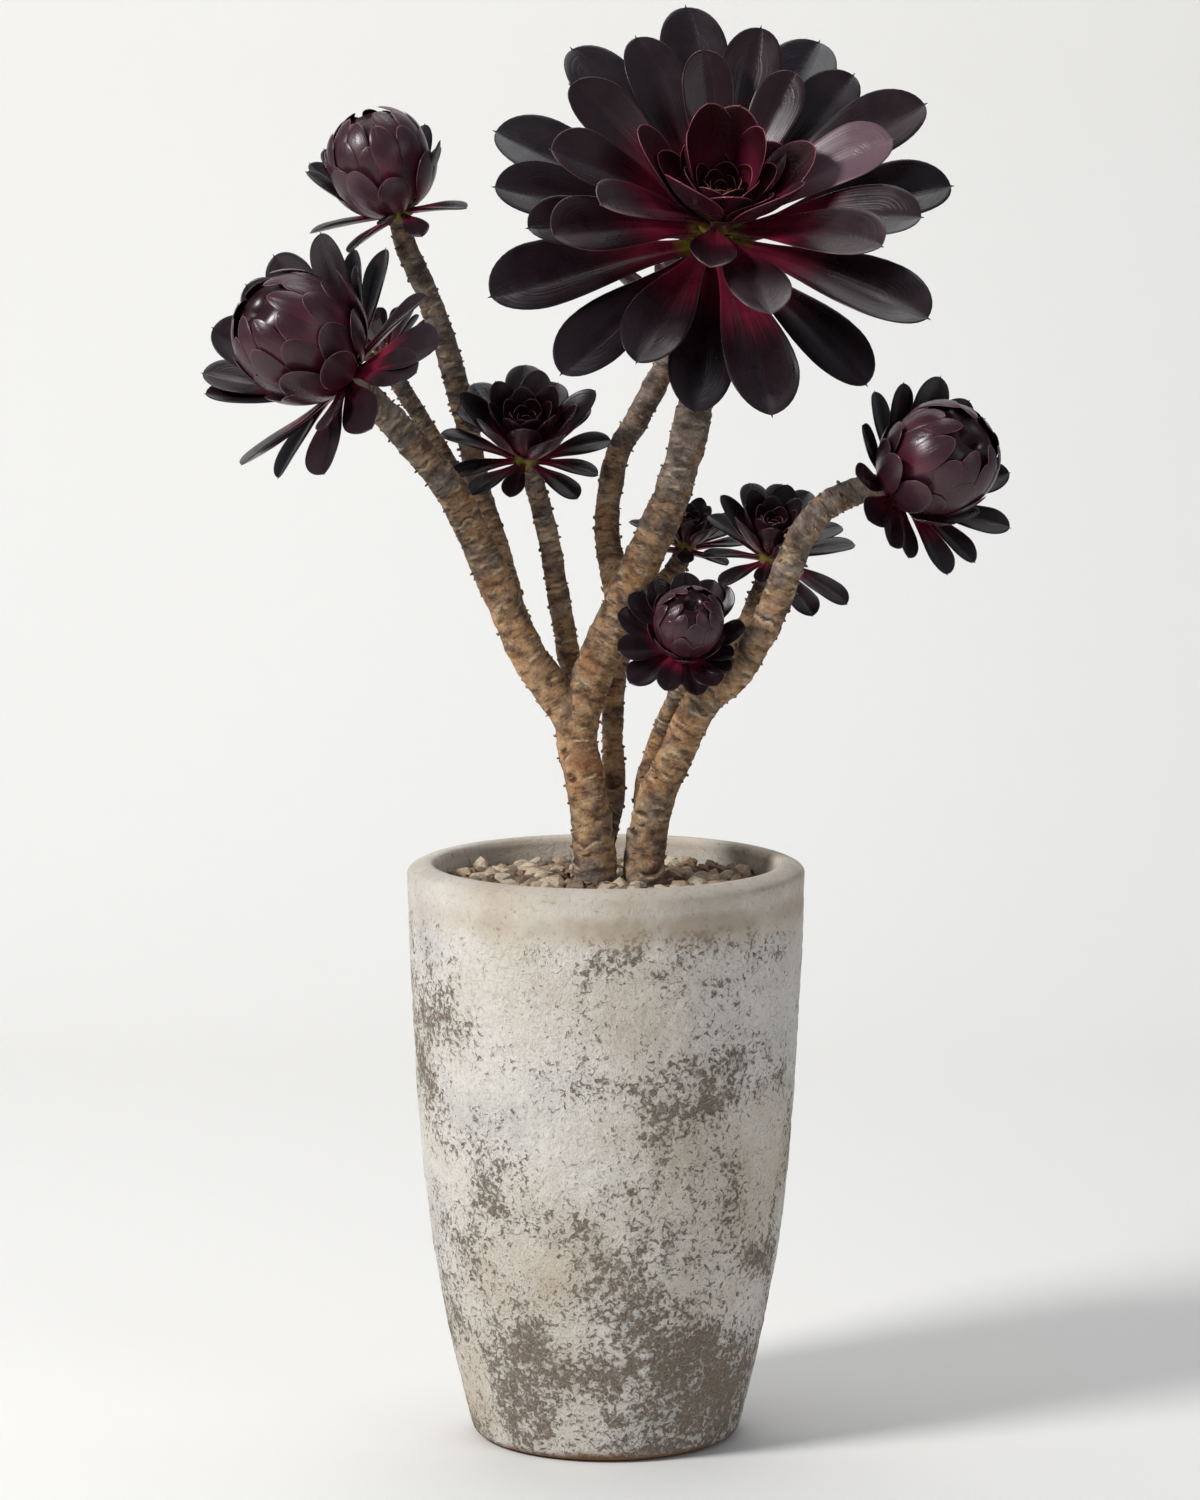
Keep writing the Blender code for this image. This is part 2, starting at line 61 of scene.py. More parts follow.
STEMS = {
    "left_trunk": [(-7, -8, TRUNK_ROOT, 14.5), (-7, -8, 340, 14.2), (-8, -8, 373, 12.8), (-13, -6, 404, 12),
                   (-18, -2, 431, 12.6), (-13, 0, 452, 12.4), (-2, 2, 482, 12), (12, 0, 512, 12),
                   (25, 0, 543, 11.6), (39, 0, 574, 11.2), (48, 0, 605, 11), (57, 5, 650, 10.6),
                   (62, 9, 690, 10.3), (63.5, 10, 722, 10)],
    "right_trunk": [(23, -5, TRUNK_ROOT, 13.5), (23, -5, 340, 13.2), (25, -7, 371, 12), (31, -9, 395, 11.2),
                    (41, -11, 417, 11), (50, -14, 438, 10.8), (60, -18, 455, 10.6), (74, -22, 467, 10),
                    (88, -26, 487, 9.6), (99, -28, 508, 9.3), (109, -30, 535, 9), (118, -31, 556, 8.7),
                    (130, -31, 571, 8.4), (146, -30, 580, 8.2), (160, -29, 583, 8), (176, -30, 582, 8)],
    "left_limb": [(-16, -1, 434, 11), (-34, -2, 460, 11.4), (-50, -5, 486, 11), (-66, -8, 522, 10.6),
                  (-79, -11, 552, 10), (-92, -14, 578, 9.6), (-107, -17, 598, 9.2), (-125, -21, 619, 8.8),
                  (-141, -25, 636, 8.5), (-156, -28, 650, 8.2)],
    "left_rear_stem": [(-50, -3, 488, 8), (-58, 18, 512, 7.6), (-66, 36, 540, 7.5), (-77, 46, 573, 7.4),
                       (-84, 50, 610, 7.3), (-94, 50, 651, 7.2), (-105, 46, 685, 7), (-116, 40, 712, 6.8),
                       (-123, 36, 731, 6.6), (-125, 34, 745, 6.6)],
    "left_side_shoot": [(-75, 45, 562, 5.8), (-91, 52, 582, 5.6), (-104, 57, 603, 5.5), (-116, 60, 622, 5.4),
                        (-127, 61, 640, 5.3), (-134, 61, 656, 5.3)],
    "middle_shoot": [(-14, 0, 448, 7), (-20, 18, 466, 7), (-25, 22, 490, 6.8), (-30, 23, 520, 6.6),
                     (-36, 22, 553, 6.4), (-43, 18, 580, 6.2), (-48, 15, 597, 6.2)],
    "rear_limb": [(9, 1, 507, 8), (4, 20, 528, 8), (1, 33, 550, 7.8), (2, 40, 572, 7.6), (7, 43, 596, 7.5),
                  (20, 48, 620, 7.4), (35, 54, 648, 7.2), (46, 60, 677, 7)],
    "back_stem": [(-6, -5, 352, 7), (1, 10, 372, 7), (5, 21, 400, 6.8), (4, 33, 427, 6.6), (6, 41, 460, 6.5),
                  (14, 46, 489, 6.4), (29, 52, 511, 6.2), (43, 57, 526, 6), (49, 55, 540, 6)],
    "right_rear_shoot": [(55, -15, 446, 5.4), (66, 2, 463, 5.4), (80, 14, 486, 5.2), (90, 22, 509, 5),
                         (97, 26, 526, 5), (99, 26, 536, 5)],
    "front_shoot": [(25, -6, 376, 5.4), (22, 6, 392, 5.5), (27, 7, 414, 5.4), (35, 3, 437, 5.2),
                    (42, -8, 456, 5), (47, -20, 472, 5), (47, -28, 488, 5)],
}
SCAR_PITCH = 1.35  # rise of the stem from one leaf scar to the next, mm
SCAR_ACROSS, SCAR_HIGH = 5.2, 1.5  # half-size of a scar, mm
FLAKE_PITCH = 11.0  # height of a ring of flaking bark, mm

# ---- rosettes ------------------------------------------------------------------------------------
# A leaf is (heading, rise, length): degrees round the rosette's axis, degrees up from its equator, mm.

MAIN_BASE, MAIN_AXIS = (63.5, 10, 722), (0.10, -0.60, 0.79)
MAIN_TIER, MAIN_RISE, MAIN_TIER_RISE, MAIN_TILT_RISE = 5.0, 4.0, 8.0, 16.0
# Leaves of the large rosette: (heading, tier up the crown, length).
MAIN_LEAVES = ((104, 1.3, 143), (84, 2.5, 121), (72, 0.0, 155), (52, 1.5, 126), (27, 2.5, 138),
               (14, 1.0, 137), (-12, 3.0, 122), (-34, 2.0, 146), (-45, 0.5, 130), (-73, 1.5, 150),
               (-90, 1.0, 134), (-106, 2.0, 131), (-124, 0.5, 134), (-146, 1.0, 143), (-152, 2.5, 120),
               (-173, 1.5, 128), (163, 0.5, 138), (136, 1.0, 140), (122, 2.0, 122), (158, 3.0, 113),
               (-166, 4.0, 113), (-139, 3.5, 125), (-132, 5.0, 107), (105, 3.5, 98), (62, 3.0, 98),
               (14, 3.5, 110), (-36, 4.0, 119), (-92, 4.5, 80), (-73, 3.5, 112))
HEART_LEAVES = ((10, 4.5, 76), (-174, 5.2, 80), (-42, 5.8, 78), (80, 5.6, 68), (128, 6.2, 68),
                (-118, 6.4, 74), (30, 6.6, 58), (-80, 6.8, 52), (170, 6.8, 54))
HEART_SPIRAL = 30
PAINTED_REFLECTION_LEAF = (14, 3.5)  # heading and tier of the one leaf with a painted reflection: its colour is paled to mauve

ROSETTES = {
    "left": dict(base=(-156, -28, 650), axis=(-0.70, -0.37, 0.61), collar=9.5, bud=35, breadth=0.36,
                 leaves=((68, 42, 88), (92, 44, 88), (120, 44, 88), (148, 44, 84), (164, 40, 80),
                         (-156, 20, 82), (-160, 0, 68), (-124, 0, 78), (-112, 12, 60), (-96, 0, 74),
                         (-64, 0, 80), (-52, 0, 86), (-20, 4, 68), (28, 16, 76), (32, 28, 72), (36, 44, 84),
                         (4, 38, 62))),
    "upper": dict(base=(-125, 34, 745), axis=(-0.33, -0.13, 0.92), collar=8.0, bud=29, breadth=0.34,
                  leaves=((-176, 8, 50), (-140, -8, 42), (-110, 4, 26), (-76, -12, 44), (-40, -8, 46),
                          (90, 0, 40), (176, 46, 58), (148, 46, 62), (128, 46, 64), (44, 46, 58),
                          (-12, 44, 48), (32, 36, 46))),
    "middle": dict(base=(-48, 15, 597), axis=(0.0, -0.52, 0.85), collar=7.5, bud=0, breadth=0.36,
                   leaves=((96, 22, 64), (122, 20, 60), (142, 18, 50), (168, 14, 50), (-166, -4, 42),
                           (-138, -4, 40), (-104, 4, 38), (-50, 0, 44), (-20, 2, 42), (8, 12, 48),
                           (40, 20, 48), (68, 20, 56))),
    "right": dict(base=(176, -30, 582), axis=(0.61, -0.58, 0.54), collar=9.0, bud=32, breadth=0.34,
                  leaves=((124, 40, 68), (148, 36, 60), (152, 12, 56), (-160, 28, 48), (-124, 20, 52),
                          (-96, 16, 60), (-76, 12, 56), (-56, 4, 44), (-32, 8, 56), (-4, 10, 56),
                          (16, 28, 64), (48, 40, 64), (88, 44, 64), (104, 44, 66))),
    "small_right": dict(base=(99, 26, 536), axis=(0.10, -0.45, 0.88), collar=6.5, bud=0, breadth=0.34,
                        leaves=((110, 24, 52), (88, 24, 54), (64, 24, 52), (146, 14, 44), (-174, 2, 38),
                                (-138, -6, 36), (-98, 6, 30), (-60, -6, 52), (-30, -8, 54), (12, 12, 50),
                                (36, 10, 50))),
    "front": dict(base=(47, -28, 488), axis=(0.10, -0.70, 0.70), collar=6.5, bud=20, breadth=0.46,
                  leaves=((96, 38, 42), (128, 34, 42), (150, 18, 42), (172, 20, 42), (-156, 16, 42),
                          (-132, 4, 42), (-104, 4, 34), (-76, 4, 34), (-60, 16, 38), (-40, 20, 34),
                          (-20, 24, 30), (8, 36, 38), (56, 34, 42), (72, 38, 42))),
    "back": dict(base=(49, 55, 540), axis=(0.15, -0.35, 0.92), collar=6.5, bud=0, breadth=0.36,
                 leaves=((0, 14, 34), (48, 10, 36), (90, 16, 36), (132, 12, 36), (176, 14, 34),
                         (-140, 8, 32), (-90, 10, 30), (-44, 10, 32))),
}
HIDDEN_ROSETTES = {
    "rear_rosette": dict(base=(46, 60, 677), axis=(0.25, 0.62, 0.74), collar=7.5, spread=50),
    "side_rosette": dict(base=(-134, 61, 656), axis=(-0.45, 0.45, 0.77), collar=6.5, spread=40),
}

BUD_CENTRE = 1.22  # height of a bud's widest ring over its foot, as a share of its radius
BUD_DRAWN = 1.30  # how much longer than a half globe the part below that ring is

# Outline of a leaf: half-breadth of its foot and place of its widest point, as shares of breadth and length.
SPOON_LEAF = dict(foot=0.25, widest=0.76)
SCALE_LEAF = dict(foot=0.45, widest=0.60)


# ---- small tools ---------------------------------------------------------------------------------

def linear(hex_colour, alpha=1.0):
    """An sRGB hex colour as linear RGBA."""
    channels = [int(hex_colour[i:i + 2], 16) / 255 for i in (1, 3, 5)]
    return (*[c / 12.92 if c <= 0.04045 else ((c + 0.055) / 1.055) ** 2.4 for c in channels], alpha)


def feed(tree, node, inputs):
    """Sets each input of a node, or links it to a socket or to another node's first output in use."""
    for key, value in inputs.items():
        if isinstance(value, bpy.types.Node):
            value = next(socket for socket in value.outputs if socket.enabled)
        if isinstance(value, bpy.types.NodeSocket):
            tree.links.new(value, node.inputs[key])
        else:
            node.inputs[key].default_value = value
    return node


def add(tree, kind, settings=None, inputs=None):
    """Adds a node with its settings and links; stops gives a ramp's (place, colour) list."""
    made = tree.nodes.new(kind)
    for key, value in (settings or {}).items():
        if key == "stops":
            ramp = made.color_ramp
            while len(ramp.elements) < len(value):
                ramp.elements.new(0.5)
            for element, (place, colour) in zip(ramp.elements, value):
                element.position = place
                element.color = linear(colour) if isinstance(colour, str) else (colour, colour, colour, 1)
        else:
            setattr(made, key, value)
    return feed(tree, made, inputs or {})


def new_tree(name, floats, others):
    """A Geometry Nodes tree from Geometry to Geometry, and its inputs by name; others are (name, type)."""
    tree = bpy.data.node_groups.new(name, "GeometryNodeTree")
    for way in ("INPUT", "OUTPUT"):
        tree.interface.new_socket("Geometry", in_out=way, socket_type="NodeSocketGeometry")
    for title, kind in [(title, "Float") for title in floats] + list(others):
        tree.interface.new_socket(title, in_out="INPUT", socket_type=f"NodeSocket{kind}")
    return tree, add(tree, "NodeGroupInput").outputs


def mesh_object(name, mesh):
    made = bpy.data.objects.new(name, mesh)
    bpy.context.scene.collection.objects.link(made)
    return made


def grid_mesh(name, points, closed_round=True):
    """A smooth mesh from rows of points, joined row to row and round each row."""
    rows, count = points.shape[:2]
    index = np.arange(rows * count).reshape(rows, count)
    a, b = index[:-1], index[1:]
    if closed_round:
        faces = np.stack([a, np.roll(a, -1, 1), np.roll(b, -1, 1), b], -1).reshape(-1, 4)
    else:
        faces = np.stack([a[:, :-1], a[:, 1:], b[:, 1:], b[:, :-1]], -1).reshape(-1, 4)
    mesh = bpy.data.meshes.new(name)
    mesh.from_pydata(points.reshape(-1, 3).tolist(), [], faces.tolist())
    mesh.shade_smooth()
    return mesh


def outward(mesh, fill=False):
    """Closes doubles, fills an open end if asked, and turns every face outwards."""
    shape = bmesh.new()
    shape.from_mesh(mesh)
    bmesh.ops.remove_doubles(shape, verts=shape.verts, dist=1e-7)
    if fill:
        bmesh.ops.contextual_create(shape, geom=[edge for edge in shape.edges if edge.is_boundary])
    bmesh.ops.recalc_face_normals(shape, faces=shape.faces)
    shape.to_mesh(mesh)
    shape.free()
    return mesh


def positions(mesh):
    points = np.empty(len(mesh.vertices) * 3)
    mesh.vertices.foreach_get("co", points)
    return points.reshape(-1, 3)


def store(mesh, **fields):
    """Writes point attributes, each one number or one vector a point."""
    for name, values in fields.items():
        values = np.ascontiguousarray(values, dtype=np.float32)
        kind, key = ("FLOAT", "value") if values.ndim == 1 else ("FLOAT_VECTOR", "vector")
        mesh.attributes.new(name, kind, "POINT").data.foreach_set(key, values.ravel())


def stored(mesh, name):
    """Reads a point attribute back."""
    attribute = mesh.attributes[name]
    single = attribute.data_type == "FLOAT"
    values = np.empty(len(mesh.vertices) * (1 if single else 3), np.float32)
    attribute.data.foreach_get("value" if single else "vector", values)
    return values if single else values.reshape(-1, 3)


def joined(name, meshes, *kept):
    """One mesh of several, with the named point attributes and no others."""
    fields = {key: np.concatenate([stored(mesh, key) for mesh in meshes]) for key in kept}
    shape = bmesh.new()
    for mesh in meshes:
        shape.from_mesh(mesh)
    whole = bpy.data.meshes.new(name)
    shape.to_mesh(whole)
    shape.free()
    for attribute in [a.name for a in whole.attributes if a.data_type in ("FLOAT", "FLOAT_VECTOR")
                      and not a.is_internal and not a.is_required]:
        whole.attributes.remove(whole.attributes[attribute])
    store(whole, **fields)
    return whole


def evaluated_mesh(thing):
    bpy.context.view_layer.update()
    return bpy.data.meshes.new_from_object(thing.evaluated_get(bpy.context.evaluated_depsgraph_get()))


def grown(thing, tree, values):
    """Runs a Geometry Nodes tree on an object with named inputs, and keeps the result as its plain mesh."""
    step = thing.modifiers.new("grow", "NODES")
    step.node_group = tree
    sockets = {item.name: item.identifier for item in tree.interface.items_tree if item.in_out == "INPUT"}
    for name, value in values.items():
        step[sockets[name]] = value
    mesh = evaluated_mesh(thing)
    thing.modifiers.clear()
    thing.data = mesh
    return thing


def standing_for(piece, material, slot, *nodes):
    """Gives a piece its material and its place in the frame, and hides the plain solids it stands for."""
    piece.data.materials.clear()
    piece.data.materials.append(material)
    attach(piece, "root")
    if nodes:
        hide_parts(*nodes)


def curve_through(knots, at):
    """Values of a smooth curve through (place, value, ...) knots."""
    knots = np.array(knots, float)
    x, y = knots[:, 0], knots[:, 1:]
    slope = np.gradient(y, x, axis=0)
    i = np.clip(np.searchsorted(x, at, side="right") - 1, 0, len(x) - 2)
    h = (x[i + 1] - x[i])[:, None]
    t = ((at - x[i]) / h[:, 0])[:, None]
    return ((2 * t**3 - 3 * t**2 + 1) * y[i] + (t**3 - 2 * t**2 + t) * h * slope[i]
            + (-2 * t**3 + 3 * t**2) * y[i + 1] + (t**3 - t**2) * h * slope[i + 1])


def roughness_field(points, size, octaves=4, offset=0.0):
    """Fractal noise at each point, with features about `size` metres across."""
    return np.array([noise.fractal(Vector((x / size + offset, y / size, z / size)), 1.0, 2.1, octaves)
                     for x, y, z in points])


# ---- finishes ------------------------------------------------------------------------------------

OVER = {"data_type": "RGBA"}  # a Mix that lays one colour over another
TIMES = {"data_type": "RGBA", "blend_type": "MULTIPLY"}
SUM_OF_PRODUCT = {"operation": "MULTIPLY_ADD"}
SOFT = {"interpolation_type": "SMOOTHSTEP"}


def new_material(name):
    """A node material, its tree and its shader."""
    made = bpy.data.materials.new(name)
    made.use_nodes = True
    tree = made.node_tree
    return made, tree, tree.nodes["Principled BSDF"]


def limewashed_clay():
    """Fired clay under old limewash: a pale flaky crust, worn through to grey-brown clay in drifts."""
    made, tree, shader = new_material("limewashed_clay")
    place = add(tree, "ShaderNodeTexCoord").outputs["Object"]
    drift = add(tree, "ShaderNodeTexNoise", None,
                {"Vector": place, "Scale": 14.0, "Detail": 5.0, "Roughness": 0.62})
    patch = add(tree, "ShaderNodeTexNoise", None,
                {"Vector": place, "Scale": 62.0, "Detail": 4.0, "Roughness": 0.6})
    flake = add(tree, "ShaderNodeTexNoise", None,
                {"Vector": place, "Scale": 300.0, "Detail": 5.0, "Roughness": 0.62,
                 "Distortion": 0.7})
    grit = add(tree, "ShaderNodeTexNoise", None,
               {"Vector": place, "Scale": 900.0, "Detail": 3.0, "Roughness": 0.6})
    cloud = add(tree, "ShaderNodeTexNoise", None, {"Vector": place, "Scale": 9.0, "Detail": 4.0})
    wear = add(tree, "ShaderNodeAttribute", {"attribute_name": "wear"}).outputs["Fac"]
    # limewash tones, from warm to chalky to cool grey
    chalk = add(tree, "ShaderNodeValToRGB",
                {"stops": [(0.34, "#CBBDAA"), (0.45, "#DAD1C4"), (0.56, "#E2DCD2"),
                           (0.68, "#D3CEC7")]}, {"Fac": cloud})
    mottled = add(tree, "ShaderNodeValToRGB", {"stops": [(0.34, 0.78), (0.46, 0.95), (0.6, 1.0)]},
                  {"Fac": flake})
    crust = add(tree, "ShaderNodeMix", TIMES, {"Factor": 1.0, 6: chalk, 7: mottled})
    # bare clay where the crust has crumbled: small flakes against a level that drifts over the pot
    shift = add(tree, "ShaderNodeMath", SUM_OF_PRODUCT, {0: drift, 1: 0.52, 2: flake})
    drifted = add(tree, "ShaderNodeMath", SUM_OF_PRODUCT, {0: patch, 1: 0.36, 2: shift})
    level = add(tree, "ShaderNodeMath", {"operation": "ADD"}, {0: drifted, 1: wear})
    bare = add(tree, "ShaderNodeMapRange", None, {"Value": level, "From Min": 1.03, "From Max": 1.14})
    clay = add(tree, "ShaderNodeValToRGB",
               {"stops": [(0.30, "#594D42"), (0.5, "#7C6F61"), (0.7, "#9A8B79")]}, {"Fac": grit})
    body = add(tree, "ShaderNodeMix", OVER, {"Factor": bare, 6: crust, 7: clay})
    # pinholes all over
    pits = add(tree, "ShaderNodeValToRGB", {"stops": [(0.31, 0.5), (0.37, 1.0)]}, {"Fac": flake})
    pitted = add(tree, "ShaderNodeMix", TIMES, {"Factor": 1.0, 6: body, 7: pits})
    # brown stain under the lip and raw clay at the foot
    stain = add(tree, "ShaderNodeAttribute", {"attribute_name": "stain"}).outputs["Fac"]
    ragged = add(tree, "ShaderNodeMath", {"operation": "MULTIPLY"}, {0: stain, 1: drift})
    amount = add(tree, "ShaderNodeMapRange", None, {"Value": ragged, "From Min": 0.10, "From Max": 0.5,
                                                    "To Max": 0.8})
    stained = add(tree, "ShaderNodeMix", OVER, {"Factor": amount, 6: pitted, 7: linear("#A3917B")})
    foot = add(tree, "ShaderNodeAttribute", {"attribute_name": "foot"}).outputs["Fac"]
    colour = add(tree, "ShaderNodeMix", OVER, {"Factor": foot, 6: stained, 7: linear("#86623F")})
    relief = add(tree, "ShaderNodeMath", SUM_OF_PRODUCT, {0: bare, 1: -0.5, 2: flake})
    grain = add(tree, "ShaderNodeMath", SUM_OF_PRODUCT, {0: grit, 1: 0.4, 2: relief})
    worn_smooth = add(tree, "ShaderNodeMapRange", None, {"Value": stain, "From Min": 0.3, "From Max": 0.8,
                                                         "To Min": 1.0, "To Max": 0.15})
    bump = add(tree, "ShaderNodeBump", None, {"Strength": worn_smooth, "Distance": 0.0018, "Height": grain})
    feed(tree, shader, {"Base Color": colour, "Roughness": 0.93, "Normal": bump})
    return made


def river_gravel():
    """Washed river gravel, mixed tan, brown and cream, dusty and rough."""
    made, tree, shader = new_material("river_gravel")
    place = add(tree, "ShaderNodeTexCoord").outputs["Object"]
    tint = add(tree, "ShaderNodeAttribute", {"attribute_name": "stone_tint"}).outputs["Fac"]
    speckle = add(tree, "ShaderNodeTexNoise", None, {"Vector": place, "Scale": 700.0, "Detail": 4.0})
    tone = add(tree, "ShaderNodeValToRGB", {"stops": [(0.0, "#4A3828"), (0.2, "#6F563F"), (0.4, "#94765A"),
                                                      (0.55, "#74675A"), (0.75, "#B4977A"),
                                                      (1.0, "#D8C8AE")]},
               {"Fac": tint})
    shade = add(tree, "ShaderNodeValToRGB", {"stops": [(0.3, 0.62), (0.7, 1.0)]}, {"Fac": speckle})
    colour = add(tree, "ShaderNodeMix", TIMES, {"Factor": 1.0, 6: tone, 7: shade})
    bump = add(tree, "ShaderNodeBump", None, {"Strength": 0.6, "Distance": 0.0010, "Height": speckle})
    feed(tree, shader, {"Base Color": colour, "Roughness": 0.85, "Normal": bump})
    return made


def damp_soil():
    """Dark peat-based potting soil, seen only between the stones."""
    made, tree, shader = new_material("damp_soil")
    place = add(tree, "ShaderNodeTexCoord").outputs["Object"]
    crumb = add(tree, "ShaderNodeTexNoise", None, {"Vector": place, "Scale": 260.0, "Detail": 6.0})
    colour = add(tree, "ShaderNodeValToRGB",
                 {"stops": [(0.3, "#1E1610"), (0.6, "#3B2C20"), (0.8, "#5A4634")]}, {"Fac": crumb})
    bump = add(tree, "ShaderNodeBump", None, {"Strength": 0.8, "Distance": 0.002, "Height": crumb})
    feed(tree, shader, {"Base Color": colour, "Roughness": 0.95, "Normal": bump})
    return made


def corky_bark():
    """Corky succulent bark: tan-brown, dry and matt, with pale leaf scars and grey weathered skin, a painted
    highlight on the lips of the flaking rings, and painted shade on the ledges under the scars and in the
    hollows above the lips.
    """
    made, tree, shader = new_material("corky_bark")
    place = add(tree, "ShaderNodeTexCoord").outputs["Object"]
    along = add(tree, "ShaderNodeAttribute", {"attribute_name": "stem_grain"}).outputs["Vector"]
    scar = add(tree, "ShaderNodeAttribute", {"attribute_name": "scar"}).outputs["Fac"]
    crack = add(tree, "ShaderNodeAttribute", {"attribute_name": "crack"}).outputs["Fac"]
    youth = add(tree, "ShaderNodeAttribute", {"attribute_name": "youth"}).outputs["Fac"]
    patch = add(tree, "ShaderNodeTexNoise", None,
                {"Vector": place, "Scale": 55.0, "Detail": 5.0, "Roughness": 0.6})
    # mottling runs a little round the stem, with thin darker checks across it
    banded = add(tree, "ShaderNodeVectorMath", {"operation": "MULTIPLY"}, {0: along, 1: (0.10, 0.10, 0.17)})
    ring = add(tree, "ShaderNodeTexNoise", None, {"Vector": banded, "Scale": 1.0, "Detail": 7.0,
                                                  "Roughness": 0.62})
    drawn = add(tree, "ShaderNodeVectorMath", {"operation": "MULTIPLY"}, {0: along, 1: (0.13, 0.13, 0.75)})
    check = add(tree, "ShaderNodeTexNoise", None, {"Vector": drawn, "Scale": 1.0, "Detail": 2.0})
    checked = add(tree, "ShaderNodeMapRange", None, {"Value": check, "From Min": 0.36,
                                                     "From Max": 0.28, "To Max": 0.8})
    fibre = add(tree, "ShaderNodeTexNoise", None,
                {"Vector": place, "Scale": 620.0, "Detail": 5.0, "Roughness": 0.7})
    brown = add(tree, "ShaderNodeValToRGB",
                {"stops": [(0.30, "#4A3425"), (0.40, "#7E5D42"), (0.49, "#B08960"),
                           (0.60, "#C69E73"), (0.72, "#DBBC95")]},
                {"Fac": ring})
    grey = add(tree, "ShaderNodeValToRGB",
               {"stops": [(0.32, "#3F342C"), (0.5, "#75655A"), (0.7, "#A29282")]}, {"Fac": ring})
    rust = add(tree, "ShaderNodeTexNoise", None, {"Vector": place, "Scale": 38.0, "Detail": 3.0})
    rusted = add(tree, "ShaderNodeMapRange", None, {"Value": rust, "From Min": 0.55, "From Max": 0.68,
                                                    "To Max": 0.6})
    brown = add(tree, "ShaderNodeMix", OVER, {"Factor": rusted, 6: brown, 7: linear("#9A6136")})
    amount = add(tree, "ShaderNodeMath", SUM_OF_PRODUCT, {0: youth, 1: 0.30, 2: patch})
    weathered = add(tree, "ShaderNodeMapRange", None, {"Value": amount, "From Min": 0.50, "From Max": 0.74})
    skin = add(tree, "ShaderNodeMix", OVER, {"Factor": weathered, 6: brown, 7: grey})
    # pale leaf scars, with the painted highlight on the flake lips stored with them; then painted shade on
    # the scar ledges and in the hollows above the lips
    pale = add(tree, "ShaderNodeMix", OVER, {"Factor": scar, 6: skin, 7: linear("#DCC4A2")})
    dark = add(tree, "ShaderNodeMix", OVER, {"Factor": crack, 6: pale, 7: linear("#3A2A1F")})
    split = add(tree, "ShaderNodeMix", OVER, {"Factor": checked, 6: dark, 7: linear("#4B3729")})
    speck = add(tree, "ShaderNodeValToRGB", {"stops": [(0.3, 0.6), (0.6, 1.0)]}, {"Fac": fibre})
    colour = add(tree, "ShaderNodeMix", TIMES, {"Factor": 1.0, 6: split, 7: speck})
    height = add(tree, "ShaderNodeMath", SUM_OF_PRODUCT, {0: ring, 1: 1.8, 2: fibre})
    bump = add(tree, "ShaderNodeBump", None, {"Strength": 0.75, "Distance": 0.0012, "Height": height})
    feed(tree, shader, {"Base Color": colour, "Roughness": 0.88, "Normal": bump})
    return made


